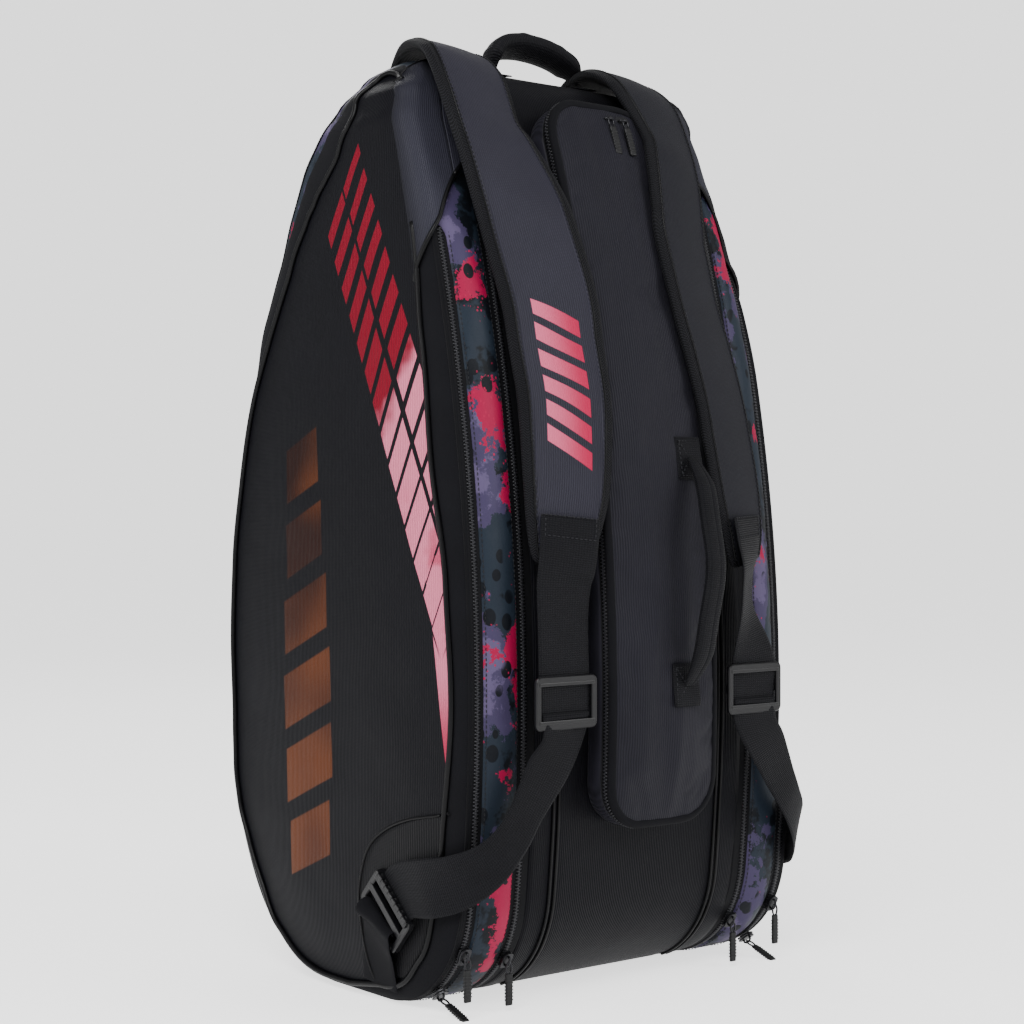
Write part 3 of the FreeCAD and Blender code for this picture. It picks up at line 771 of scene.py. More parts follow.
def panel_mat(name):
    """Side panel cloth: ribs, a lattice of slanted diamonds that fades from crimson to rose, and copper bars."""
    n = Nodes(name)
    colour, rough, normal, position = ribbed_base(n, "y", 2.0)
    _, y, z = n.split(position)
    # Lattice: family A are the gaps beside the bars, family B the cuts across them, in metres.
    lean_a, lean_b, pitch_a, pitch_b = 0.437, -0.435, 0.0217, 0.0371

    def bend(height):
        """The bars lean more towards the narrow end."""
        over = n.largest(n.sub(height, 0.5), 0.0)
        return n.mul(n.mul(over, over), 0.5)

    a = n.div(n.add(n.mad(z, lean_a, y), bend(z)), pitch_a)
    b = n.sub(n.div(n.mad(z, lean_b, y), pitch_b), 0.042)
    cell_a = n.add(n.floor(a), 0.5)
    cell_b = n.add(n.floor(b), 0.542)
    # Height and depth of the middle of the diamond that this point lies in.
    mid_z = n.div(n.sub(n.mul(cell_a, pitch_a), n.mul(cell_b, pitch_b)), lean_a - lean_b)
    mid_y = n.sub(n.mul(cell_a, pitch_a), n.add(n.mul(mid_z, lean_a), bend(mid_z)))
    strap_edge = [(0.20, -0.175), (0.40, -0.160), (0.449, -0.130), (0.467, -0.118), (0.499, -0.104), (0.528, -0.096),
                  (0.555, -0.090), (0.581, -0.077), (0.607, -0.063), (0.630, -0.054), (0.66, -0.042), (0.70, -0.035)]
    far_edge = [(0.20, -0.139), (0.26, -0.134), (0.324, -0.128), (0.365, -0.111), (0.401, -0.093), (0.435, -0.074),
                (0.467, -0.055), (0.495, -0.040), (0.522, -0.026), (0.55, -0.009), (0.575, 0.004), (0.60, 0.018),
                (0.62, 0.012), (0.645, -0.018), (0.70, -0.036)]
    in_band = inside(n, mid_y, curve_of(n, mid_z, strap_edge, 0.20, 0.70), curve_of(n, mid_z, far_edge, 0.20, 0.70),
                     0.001)
    in_band = n.mul(in_band, inside(n, mid_z, 0.305, 0.675, 0.001))
    width_a = [(0.25, 0.45), (0.36, 0.44), (0.42, 0.41), (0.50, 0.37), (0.56, 0.30), (0.62, 0.25), (0.68, 0.20)]
    half_a = curve_of(n, mid_z, width_a, 0.25, 0.68)
    half_b = curve_of(n, mid_z, [(0.25, 0.47), (0.42, 0.44), (0.50, 0.40), (0.56, 0.44), (0.68, 0.47)], 0.25, 0.68)
    off_a = n.off_middle(a)
    off_b = n.off_middle(b)
    tile = n.mul(n.edge(half_a, off_a, 60.0), n.edge(half_b, off_b, 70.0))
    lattice = n.mul(in_band, tile)
    # Long thin tail that follows the piping down.
    tail_far = [(0.178, -0.147), (0.24, -0.138), (0.304, -0.129), (0.35, -0.119), (0.38, -0.118)]
    tail = inside(n, y, -0.20, curve_of(n, z, tail_far, 0.178, 0.38))
    tail = n.mul(tail, inside(n, z, 0.179, 0.352))
    slit_a = n.edge(0.47, off_a, 60.0)
    slit_b = n.edge(0.48, off_b, 70.0)
    slits = n.largest(n.mul(slit_a, slit_b), n.step(z, 0.29, 0.27))
    tail = n.mul(tail, slits)
    shape = n.largest(lattice, tail)
    streak = n.noise(n.combine(n.mul(y, 1.2), 0.0, n.mul(z, 1.0)), 24.0, 2.0)
    fold = n.mul(n.sub(streak, 0.5), 0.10)
    tone = n.add(n.sub(n.mad(y, 1.6, z), 0.340), fold)
    ink = n.blend(n.step(tone, -0.014, 0.02), srgb("cc7088"), CRIMSON)
    satin = n.step(streak, 0.52, 0.66)
    low_tone = n.mul(satin, n.step(z, 0.42, 0.34))
    ink = n.blend(n.mul(low_tone, 0.8), ink, srgb("a83a54"))
    ink = n.blend(n.step(z, 0.27, 0.20), ink, srgb("a52a48"))
    # Copper bars on the front half: plain slanted blocks that step down the panel.
    row = n.div(n.mad(y, 0.42, n.sub(z, 0.10)), 0.062)
    row_mid = n.off_middle(row)
    row_index = n.floor(row)
    blocks = n.edge(0.36, row_mid, 40.0)
    width = n.mad(n.sine(n.mul(row_index, 0.9)), 0.006, 0.029)
    centre = n.mad(z, 0.04, 0.026)
    reach = n.size(n.sub(y, centre))
    blocks = n.mul(blocks, n.edge(width, reach, 1500.0))
    blocks = n.mul(blocks, inside(n, row, 0.0, 6.0, 0.02))
    gold = n.blend(n.step(z, 0.06, 0.42), COPPER, COPPER_DARK)
    # painted sheen: the copper turns lighter towards the front and the bottom, broken up by noise
    painted_sheen = n.mad(y, 1.4, n.mad(z, -0.5, n.noise(position, 9.0, 1.0)))
    gold = n.blend(n.step(painted_sheen, 0.25, 0.55), gold, srgb("5e3014"))
    colour = n.blend(n.mul(blocks, 0.92), colour, gold)
    colour = n.blend(shape, colour, ink)
    printed = n.largest(shape, blocks)
    rough = n.mad(printed, -0.14, rough)
    n.link(n.mul(printed, 0.25), n.bsdf.inputs["Metallic"])
    return n.out(colour, rough, normal, Specular_IOR_Level=0.10)


def strap_face_mat(name):
    """Ribbed strap face with a few slanted rose bars part of the way down."""
    n = Nodes(name)
    colour, rough, normal, _ = ribbed_base(n, "weave", 1.9, STRAP_TONES)
    across, along, _ = n.split(n.weave())
    row = n.div(n.mad(across, 0.55, n.sub(along, 0.300)), 0.0205)
    middle = n.off_middle(row)
    bars = n.edge(0.33, middle, 30.0)
    bars = n.mul(bars, inside(n, row, 0.0, 6.0, 0.02))
    bars = n.mul(bars, inside(n, across, -0.019, 0.019))
    ink = n.blend(n.step(across, -0.018, 0.018), srgb("b01a44"), srgb("d0607e"))
    colour = n.blend(bars, colour, ink)
    return n.out(colour, rough, normal, Sheen_Weight=0.02, Specular_IOR_Level=0.12)


def smooth_mat(name, tone, rough, grain=900.0, bump=0.15, **values):
    """Moulded or coated surface with fine grain and slight colour drift."""
    n = Nodes(name)
    position = n.coords()
    colour = n.blend(n.noise(position, 40.0, 3.0), *tone)
    roughness = n.mad(n.noise(position, 90.0, 3.0), 0.14, rough - 0.07)
    return n.out(colour, roughness, n.bump(n.noise(position, grain, 2.0), bump, 0.0003), **values)


MAT = {
    "band": ribbed("band_cloth", "x"),
    "pocket": ribbed("pocket_cloth", "x", 2.1, (srgb("131318"), srgb("24232b"))),
    "panel": panel_mat("panel_cloth"),
    "cap": cap_mat("cap_cloth"),
    "patch": ribbed("patch_cloth", "y", 2.6, (srgb("09090b"), srgb("151518"))),
    "blotch": blotch_mat("blotch_cloth"),
    "strap": strap_face_mat("strap_cloth"),
    "strap_unmarked": ribbed("strap_unmarked_cloth", "weave", 1.9, (srgb("111116"), srgb("202027"))),
    "strap_plain": ribbed("strap_back_cloth", "weave", 2.4, (srgb("09090b"), srgb("141417"))),
    "binding": twill_mat("binding_tape"),
    "webbing": webbing_mat("webbing_weave"),
    "tape": plain_weave("zip_tape_cloth", (srgb("08080a"), srgb("131316"))),
    "lining": plain_weave("lining_cloth", (srgb("141417"), srgb("222227")), 500.0),
    "trim": plain_weave("trim_cloth", (srgb("08080b"), srgb("131317")), 700.0, 0.78),
    "piping": smooth_mat("piping_cord", (srgb("060607"), srgb("0f0f11")), 0.36, 500.0, Specular_IOR_Level=0.16),
    "teeth": smooth_mat("zip_coil", (srgb("131316"), srgb("2b2b30")), 0.40, 600.0, Specular_IOR_Level=0.35),
    "metal": smooth_mat("slider_metal", (srgb("1a1a1c"), srgb("303034")), 0.32, 700.0, Metallic=0.7),
    "rubber": smooth_mat("pull_rubber", (srgb("0a0a0b"), srgb("151517")), 0.5, 400.0, 0.4, Specular_IOR_Level=0.3),
    "plastic": smooth_mat("moulded_plastic", (srgb("08080a"), srgb("121215")), 0.34, 1200.0, 0.2,
                          Specular_IOR_Level=0.4),
    "board": smooth_mat("base_board", (srgb("101012"), srgb("1a1a1d")), 0.6, Specular_IOR_Level=0.25),
    "thread": smooth_mat("sewing_thread", (srgb("121214"), srgb("26262b")), 0.6, 1500.0, 0.4, Specular_IOR_Level=0.25),
}


# --- stage ----------------------------------------------------------------------------------------
CAMERA_TURN, CAMERA_DISTANCE, CAMERA_HEIGHT, LENS = math.radians(39), 1.75, 0.385, 71.0
FLOOR_GLOW, FLOOR_GLOW_SEEN = 0.62, 0.9       # the second is added where the camera sees the floor itself
WORLD_LIGHT, WORLD_SEEN = 0.34, 1.5           # the same for the backdrop
LAMPS = [("key", (-1.7, -1.3, 2.3), 1.5, 70), ("fill", (1.5, -2.3, 1.4), 1.6, 40),
         ("side", (-2.4, 0.5, 1.1), 1.3, 26), ("rim", (0.8, 2.2, 2.2), 1.3, 14)]


def stage():
    """White floor and backdrop, four soft lamps and the camera."""
    floor_mat = Nodes("floor_paper")
    position = floor_mat.coords()
    tone = floor_mat.blend(floor_mat.noise(position, 2.0, 2.0), (0.9, 0.9, 0.9), (0.93, 0.93, 0.93))
    floor_mat.out(tone, 0.7, floor_mat.bump(floor_mat.noise(position, 300.0, 2.0), 0.05, 0.0005),
                  Emission_Color=(1.0, 1.0, 1.0, 1.0), Emission_Strength=FLOOR_GLOW)
    seen = floor_mat.mad(floor_mat.new("LightPath").outputs["Is Camera Ray"], FLOOR_GLOW_SEEN, FLOOR_GLOW)
    floor_mat.link(seen, floor_mat.bsdf.inputs["Emission Strength"])
    size = 40000
    floor = make("floor", [(-size, -size, 0), (size, -size, 0), (size, size, 0), (-size, size, 0)],
                 [(0, 1, 2, 3)], floor_mat.mat, smooth=False)
    floor.location.z = -0.0004
    world = bpy.data.worlds.new("studio")
    bpy.context.scene.world = world
    world.use_nodes = True
    tree = world.node_tree
    background = tree.nodes["Background"]
    background.inputs["Color"].default_value = (1.0, 1.0, 1.0, 1)
    path, strength = tree.nodes.new("ShaderNodeLightPath"), tree.nodes.new("ShaderNodeMath")
    strength.operation = "MULTIPLY_ADD"
    strength.inputs[1].default_value = WORLD_SEEN
    strength.inputs[2].default_value = WORLD_LIGHT
    tree.links.new(path.outputs["Is Camera Ray"], strength.inputs[0])
    tree.links.new(strength.outputs[0], background.inputs["Strength"])
    for name, where, width, power in LAMPS:
        light = bpy.data.lights.new(name, "AREA")
        light.size = width
        light.energy = power
        lamp = bpy.data.objects.new(name, light)
        lamp.location = where
        lamp.rotation_euler = (Vector((0, 0, 0.38)) - Vector(where)).to_track_quat("-Z", "Y").to_euler()
        bpy.context.collection.objects.link(lamp)
    camera_data = bpy.data.cameras.new("camera")
    camera_data.sensor_width = 36.0
    camera_data.lens = LENS
    camera = bpy.data.objects.new("camera", camera_data)
    camera.location = (-math.sin(CAMERA_TURN) * CAMERA_DISTANCE, -math.cos(CAMERA_TURN) * CAMERA_DISTANCE,
                       CAMERA_HEIGHT)
    camera.rotation_euler = (Vector((0, 0, CAMERA_HEIGHT)) - camera.location).to_track_quat("-Z", "Y").to_euler()
    bpy.context.collection.objects.link(camera)
    bpy.context.scene.camera = camera


# --- middle compartment ---------------------------------------------------------------------------
def centre_band():
    xs = [-113.0 + 226.0 * k / 40 for k in range(41)]

    def section(s):
        _, z, ny, nz = RAIL.at(s)
        strap_side = ny < 0 and z < 705

        def outer(x):
            sag = 1.6 * ripple(x, s, 3.0, 70) if nz > -0.9 else 0.0
            seam = 1.6 * math.exp(-((abs(x) - RIDGE_X) / 3.0) ** 2) if strap_side else 0.0
            edge = max(0, abs(x) - 104) / 9
            return 0.6 + sag * 0.6 + seam + 0.8 * edge**2
        return shell_profile(xs, outer, 3.0)
    cols = 82
    band = ring("middle_band", [MAT["band"], MAT["lining"]], section, pick=lambda f: 0 if f[0] % cols < 40 else 1)
    finish_piece(band, "core", ["centre_band"])
    for sign, side in ((-1, "left"), (1, "right")):
        top = RAIL.find(POCKET_HIGH - 6, True)
        low = RAIL.find(7, True)
        for k, offset in enumerate((-2.6, 2.6)):
            points = [wall_point(sign * RIDGE_X + offset, top + (low - top) * i / 150, 0.1) for i in range(151)]
            piece = cord(f"{side}_ridge_piping_{k}", points, 1.3, MAT["piping"], sides=6)
            finish_piece(piece, "core", ["ridge_pipings"] if sign == -1 and k == 0 else [])


# --- zips -----------------------------------------------------------------------------------------
COIL_PITCH = 2.7
COIL_SECTION = ((-1, 0), (-0.6, 1), (0.6, 1), (1, 0), (0.6, -0.6), (-0.6, -0.6))


def tape_ring(name, body, x_edge, x_hidden, replaces=()):
    """One half of a zip's tape: x_edge is at the coil, x_hidden goes under the cloth."""
    def section(s):
        steps = [x_hidden + (x_edge - x_hidden) * k / 5 for k in range(6)]
        return [(x, 1.4) for x in steps] + [(x, 2.6) for x in reversed(steps)]
    return finish_piece(ring(name, MAT["tape"], section), body, replaces)


def coil_half(name, body, x_tape, direction, phase, stations):
    """Row of coil turns along the outline, reaching a little past the zip's centre."""
    verts, faces = [], []
    for k in range(int((stations[1] - stations[0]) / COIL_PITCH)):
        s = stations[0] + (k + phase) * COIL_PITCH
        _, _, ny, nz = RAIL.at(s)
        t = Vector((0, nz, -ny))
        n = Vector((0, ny, nz))
        base = wall_point(x_tape - direction * 2.0, s, 1.2)
        add_tube(verts, faces, [[
            base + Vector((direction * reach, 0, 0)) + t * a * half + n * b * lift for a, b in COIL_SECTION]
            for reach, half, lift in ((0.0, 0.55, 0.5), (1.5, 0.75, 1.0), (3.0, 0.8, 1.0), (3.7, 0.45, 0.5))])
    return finish_piece(make(name, verts, faces, MAT["teeth"]), body)


def outline_zips(sign, side):
    """Tapes and coils of the inner zip, from core to wing, and of the outer one, from wing to cover."""
    wing_body, cover_body = f"{side}_wing", f"{side}_cover"
    shared_tape = ["centre_zip_tapes"] if sign == -1 else []
    for key, x, way, hidden, body, replaced in (
            ("inner", INNER_ZIP_X, -1, 11, "core", shared_tape),
            ("inner", INNER_ZIP_X, 1, 9, wing_body, [f"{side}_inner_zip_tape"]),
            ("outer", OUTER_ZIP_X, -1, 9, wing_body, [f"{side}_outer_zip_tape"]),
            ("outer", OUTER_ZIP_X, 1, 8, cover_body, [f"{side}_outer_zip_tape_cover"])):
        tape_ring(f"{side}_{key}_tape_{body.split('_')[-1]}", body, sign * (x + way * 0.5), sign * (x + way * hidden),
                  replaced)
    for key, x, top, end, near, far in (("inner", INNER_ZIP_X, 655, 640, "core", wing_body),
                                        ("outer", OUTER_ZIP_X, 604, 650, wing_body, cover_body)):
        run = (RAIL.find(top, True), RAIL.find(end, False) + RAIL.length)
        for way, body, phase in ((-1, near, 0.0), (1, far, 0.5)):
            coil_half(f"{side}_{key}_coil_{body.split('_')[-1]}", body, sign * (x + way * 0.6), -way * sign, phase, run)


# --- wing -----------------------------------------------------------------------------------------
def wing(sign, side):
    low_x = 127.5

    def section(s):
        _, z, ny, nz = RAIL.at(s)
        flat = max(0.0, min(1.0, (-nz - 0.75) / 0.2))
        high_x = 161.5 + (lerp_table([(600, 0), (612, 10)], z) if ny < 0 and nz > -0.5 else 0)
        xs = [low_x + (high_x - low_x) * k / 16 for k in range(17)]

        def outer(x):
            u = (x - low_x) / (high_x - low_x)
            hump = math.sin(math.pi * u) ** 0.7
            edge = 1 - hump
            pucker = 0.9 * edge * (0.3 + edge) * ripple(x * 0.3, s, 7.0 + sign, 9) if 0.02 < u < 0.98 else 0.0
            fold = 2.2 * hump * ripple(x * 0.6, s, 11.0 + sign, 34)
            hem = 0.5 if u < 0.03 or u > 0.97 else 0.0
            hidden = min(1.0, max(0.0, (z - 640) / 30)) if ny < 0.2 and nz > -0.5 else 0.0
            waves = (3.8 * hump + pucker + fold) * (1 - 0.85 * flat) * (1 - 0.75 * hidden)
            return 1.0 - waves + hem - 0.9 * flat * hump
        return [(sign * x, i) for x, i in shell_profile(xs, outer, 2.2)]
    cols = 34
    gusset = ring(f"{side}_gusset_cloth", [MAT["blotch"], MAT["lining"]], section,
                  pick=lambda f: 0 if f[0] % cols < 17 or f[0] % cols == 33 else 1)
    finish_piece(gusset, f"{side}_wing", [f"{side}_gusset"], level=1)
    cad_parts[f"{side}_divider"].material_slots[0].material = MAT["lining"]
    start, end = RAIL.find(610, True), RAIL.find(660, False) + RAIL.length
    for k, x in enumerate((129.6, 159.4)):
        stations = [start + (end - start) * i / 400 for i in range(401)]
        points = [wall_point(sign * x, s, 0.15) for s in stations]
        normals = [Vector((0, RAIL.at(s)[2], RAIL.at(s)[3])) for s in stations]
        finish_piece(stitches(f"{side}_gusset_stitches_{k}", points, normals, MAT["thread"], lift=0.5),
                     f"{side}_wing")


# --- cover ----------------------------------------------------------------------------------------
def shoulder(s):
    """Cross-section points (x, inset) from the outer zip to the piping."""
    inset = pipe_inset(s)
    steps = []
    for k in range(9):
        a = math.pi / 2 * k / 8
        steps.append((172.0 + (PIPE_X - 172.0) * math.sin(a), 0.8 + (inset - 0.8) * (1 - math.cos(a)) ** 0.9))
    return steps


def pipe_rail(sign, s, inset_shift=0.0):
    return wall_point(sign * PIPE_X, s, pipe_inset(s) + inset_shift)


def panel_rows(sign, count=92):
    """Rows (z, low y, high y) across the shape that the piping encloses."""
    edge = [pipe_rail(sign, s, 0.5) for s in LOOP]
    z_low, z_high = min(p.z for p in edge) + 0.05, max(p.z for p in edge) - 0.05
    rows = []
    for k in range(count):
        t = k / (count - 1)
        t = t - 0.07 * math.sin(2 * math.pi * t)
        z = z_low + (z_high - z_low) * t
        hits = []
        for a, b in zip(edge, edge[1:] + edge[:1]):
            if (a.z - z) * (b.z - z) <= 0 and a.z != b.z:
                hits.append(a.y + (b.y - a.y) * (z - a.z) / (b.z - a.z))
        rows.append((z, min(hits), max(hits)))
    return rows


def cover_panel(sign, side):
    rows, cols = panel_rows(sign), 44
    verts, weave = [], []
    for face in (0, 1):
        for r, (z, low, high) in enumerate(rows):
            v = 2 * r / (len(rows) - 1) - 1
            for c in range(cols):
                u = 2 * c / (cols - 1) - 1
                u = math.sin(u * math.pi / 2 * 0.92) / math.sin(math.pi / 2 * 0.92)
                y = low + (high - low) * (u + 1) / 2
                rise = (1 - abs(u) ** 3.2) * (1 - abs(v) ** 9)
                soft = 1.5 * ripple(y, z, 21.0 + sign, 120) + 0.8 * ripple(y, z, 5.0 + sign, 45)
                height = (7.0 + soft) * rise if face == 0 else -3.5 * min(1, rise * 6)
                verts.append((taper(sign * PIPE_X, z) + sign * height, y, z))
                weave.append((y, z))
    count = len(rows) * cols
    faces, border, face_mats = sheet_faces(len(rows), cols)
    panel = make(f"{side}_side_panel", verts, faces, [MAT["panel"], MAT["lining"]], weave, face_mats)
    settle(panel, border + list(range(count, 2 * count)), 1.2, 5.0, slack=0.012)
    finish_piece(panel, f"{side}_cover", [f"{side}_cover_panel"], level=1)


def cover(sign, side):
    body = f"{side}_cover"

    def section(s):
        outer = shoulder(s)
        inner = [(x - 2.4, i + 3.0) for x, i in reversed(outer)]
        return [(sign * x, i) for x, i in outer + inner]
    printed = (RAIL.find(600, False), RAIL.find_angle(112))

    def pick(face):
        s = LOOP[(face[0] // 18) % len(LOOP)]
        return 1 if printed[0] < s < printed[1] and face[0] % 18 < 4 else 0
    rim = ring(f"{side}_shoulder_cloth", [MAT["trim"], MAT["blotch"]], section, pick=pick)
    finish_piece(rim, body, [f"{side}_rim"], level=1)
    stop = RAIL.find(612, True)
    start = RAIL.find_angle(140)
    stations = [stop + (RAIL.length - (stop - start)) * k / 330 for k in range(331)]
    points = [pipe_rail(sign, s, -0.6) + Vector((sign * 1.4, 0, 0)) for s in stations]
    finish_piece(cord(f"{side}_piping", points, 2.3, MAT["piping"]), body, [f"{side}_cover_piping"])
    cover_panel(sign, side)
    corner_patch(sign, side)


def corner_patch(sign, side):
    """Raised reinforcing patch on the panel's lower corner at the strap side."""
    edge = [(y, z) for y, z, _ in smooth_path(
        [(-150, 157, 0), (-106, 149, 0), (-74, 137, 0), (-52, 119, 0), (-42, 90, 0), (-42, 70, 0), (-50, 34, 0),
         (-56, 18, 0)], 40)]
    high, low = RAIL.find(160, True), RAIL.find(8, True)
    points, cols = [], 14
    for k, (y, z) in enumerate(edge):
        p = pipe_rail(sign, high + (low - high) * k / 39, 2.0)
        points += [(y + (p.y - y) * c / (cols - 1), z + (p.z - z) * c / (cols - 1)) for c in range(cols)]
    tree = surface_tree(f"{side}_side_panel")

    def depth(y, z):
        """The panel's outer x at (y, z)."""
        hit = tree.ray_cast(Vector((sign * 0.4, y * MM, z * MM)), Vector((-sign, 0, 0)))[0]
        return abs(hit.x) / MM if hit else PIPE_X
    verts = [(sign * (depth(y, z) + lift), y, z) for lift in (1.1, -0.8) for y, z in points]
    patch = make(f"{side}_corner_patch", verts, sheet_faces(len(edge), cols)[0], MAT["patch"], points + points)
    finish_piece(patch, f"{side}_cover")
    seam = [Vector((sign * (depth(y, z) + 1.2), y, z)) for y, z in edge[2:]]
    finish_piece(cord(f"{side}_patch_piping", seam, 1.2, MAT["piping"], sides=6), f"{side}_cover")


def surface_tree(name):
    """Ray tree of a finished piece, for laying others on it."""
    depsgraph = bpy.context.evaluated_depsgraph_get()
    return BVHTree.FromObject(bpy.data.objects[name].evaluated_get(depsgraph), depsgraph)


# --- top cap --------------------------------------------------------------------------------------
def cap_ends(x):
    """Lengths along the outline where the cap's cloth starts on the front and ends on the strap side."""
    share = max(0.0, (x - 100) / 84)
    return RAIL.find_angle(84 + 46 * share), RAIL.find(684 - 58 * share - 62 * share ** 4, True)


def cap(sign, side):
    """Cloth over the narrow end, above the zips, in two halves: one from core to wing, the other from wing to cover."""
    for name, x_low, x_high, body_a, body_b, bend in (
            ("inner", 108.0, CAP_X, "core", f"{side}_wing", (116.0, 132.0)),
            ("outer", CAP_X, 184.0, f"{side}_wing", f"{side}_cover", (158.0, 172.0))):
        cols, rows = 19, 90
        verts, weave = [], []
        for face in (0, 1):
            for r in range(rows):
                for c in range(cols):
                    x = x_low + (x_high - x_low) * c / (cols - 1)
                    s1, s0 = cap_ends(x)
                    s = s1 + (s0 - s1) * r / (rows - 1)
                    inset = -3.4 + 0.8 * ripple(x, s, 31.0, 40)
                    px = x
                    if x > 168:
                        t = min(1.0, (x - 168) / 16)
                        reach = pipe_inset(s) + 9
                        px = 168 + 15.6 * math.sin(min(1.0, t * 1.25) * math.pi / 2) - 5.0 * max(0, t - 0.8) / 0.2
                        inset = inset + (reach - inset) * (1 - math.cos(t * math.pi / 2))
                    p = wall_point(sign * px, s, inset + (2.2 if face else 0.0))
                    verts.append(p)
                    weave.append((px + max(0.0, inset + 3.4), s))
        piece = make(f"{side}_cap_{name}", verts, sheet_faces(rows, cols)[0], MAT["cap"], weave)
        start, end = ((sign * bend[0] * MM, 0, 0.7), (sign * bend[1] * MM, 0, 0.7))
        finish_piece(piece, None, blend=(body_a, body_b, start, end))
        for edge_row, label, radius in ((rows - 1, "strap", 1.9), (0, "front", 1.0)):
            line = [Vector(verts[edge_row * cols + c]) for c in range(cols)]
            seam = cord(f"{side}_cap_{name}_seam_{label}", line, radius, MAT["piping"], sides=6)
            finish_piece(seam, None, blend=(body_a, body_b, start, end))


# --- pocket ---------------------------------------------------------------------------------------
def pocket_loop(inset, spacing=4.0):
    """Points (x, z, nx, nz) round the pocket, with in-plane outward normals."""
    half, low, high, corner = POCKET_HALF - inset, POCKET_LOW + inset, POCKET_HIGH - inset, POCKET_CORNER - inset
    points = []
    runs = [((-half + corner, low), (half - corner, low), (0, -1)),
            ((half, low + corner), (half, high - corner), (1, 0)),
            ((half - corner, high), (-half + corner, high), (0, 1)),
            ((-half, high - corner), (-half, low + corner), (-1, 0))]
    centres = [(half - corner, low + corner, -90), (half - corner, high - corner, 0),
               (-half + corner, high - corner, 90), (-half + corner, low + corner, 180)]
    for (a, b, n), (cx, cz, start) in zip(runs, centres):
        count = max(2, int(math.dist(a, b) / spacing))
        for k in range(count):
            t = k / count
            points.append((a[0] + (b[0] - a[0]) * t, a[1] + (b[1] - a[1]) * t, *n))
        for k in range(8):
            angle = math.radians(start + 90 * k / 8)
            nx, nz = math.cos(angle), math.sin(angle)
            points.append((cx + corner * nx, cz + corner * nz, nx, nz))
    return points


def pocket_point(x, z, nx, nz, e, out):
    return back_point(x + nx * e, z + nz * e, out)


def pocket_belt(name, body, mat, section, replaces=(), level=0):
    """Piece that runs round the pocket. section is a closed list of (e, out)."""
    loop = pocket_loop(0)
    sections, weave, run = [], [], 0.0
    for i, (x, z, nx, nz) in enumerate(loop):
        run += math.dist(loop[i - 1][:2], (x, z)) if i else 0.0
        profile = section(run)
        sections.append([pocket_point(x, z, nx, nz, e, out) for e, out in profile])
        weave += [(out, run) for e, out in profile]
    return finish_piece(sweep(name, sections, mat, True, weave=weave), body, replaces, level)


def pocket_coil(name, body, out, direction, phase):
    """Coil turns on the rim of the pocket, facing outwards."""
    loop = pocket_loop(0, 1.0)
    verts, faces, run, want = [], [], 0.0, phase * COIL_PITCH
    for a, b in zip(loop, loop[1:] + loop[:1]):
        step = math.dist(a[:2], b[:2])
        while want <= run + step:
            t = (want - run) / step
            x, z, nx, nz = (p + (q - p) * t for p, q in zip(a, b))
            along = Vector((-nz, 0, nx))
            add_tube(verts, faces, [[
                pocket_point(x, z, nx, nz, 0.8 + q * lift, out + direction * (reach - 2.0)) + along * p * half
                for p, q in COIL_SECTION]
                for reach, half, lift in ((0.0, 0.5, 0.5), (1.2, 0.75, 0.9), (2.2, 0.8, 0.9), (2.8, 0.45, 0.5))])
            want += COIL_PITCH
        run += step
    return finish_piece(make(name, verts, faces, MAT["teeth"]), body)


def pocket():
    pocket_belt("pocket_wall_cloth", "core", MAT["pocket"],
                lambda s: [(0.5, -1), (1.5 + ripple(s, 0, 2, 30), 5), (1.8 + ripple(s, 3, 2, 22), 10),
                           (0.8, 14.5), (0.2, 16.5),
                           (-2.0, 16.5), (-1.8, 10), (-1.8, 5), (-2.0, -1)], ["pocket_wall"], 1)
    pocket_belt("pocket_tape_wall", "core", MAT["tape"],
                lambda s: [(-0.2, 15.5), (0.4, 18.5), (0.2, 21.3), (-1.2, 21.3), (-1.4, 15.5)],
                ["pocket_zip_tape_outer"])
    pocket_belt("pocket_tape_flap", "pocket_flap", MAT["tape"],
                lambda s: [(0.2, 21.9), (0.4, 24.0), (-0.4, 26.0), (-1.8, 26.0), (-1.2, 21.9)],
                ["pocket_zip_tape_inner"])
    pocket_coil("pocket_coil_wall", "core", 21.3, 1, 0.0)
    pocket_coil("pocket_coil_flap", "pocket_flap", 21.9, -1, 0.5)
    pocket_belt("pocket_welt", "pocket_flap", MAT["trim"],
                lambda s: [(0.4, 23.4), (1.6, 25.2), (0.6, 27.6), (-3.2, 28.8), (-5.6, 28.0), (-5.2, 25.4),
                           (-2.0, 23.6)], (), 1)
    flap_cloth()


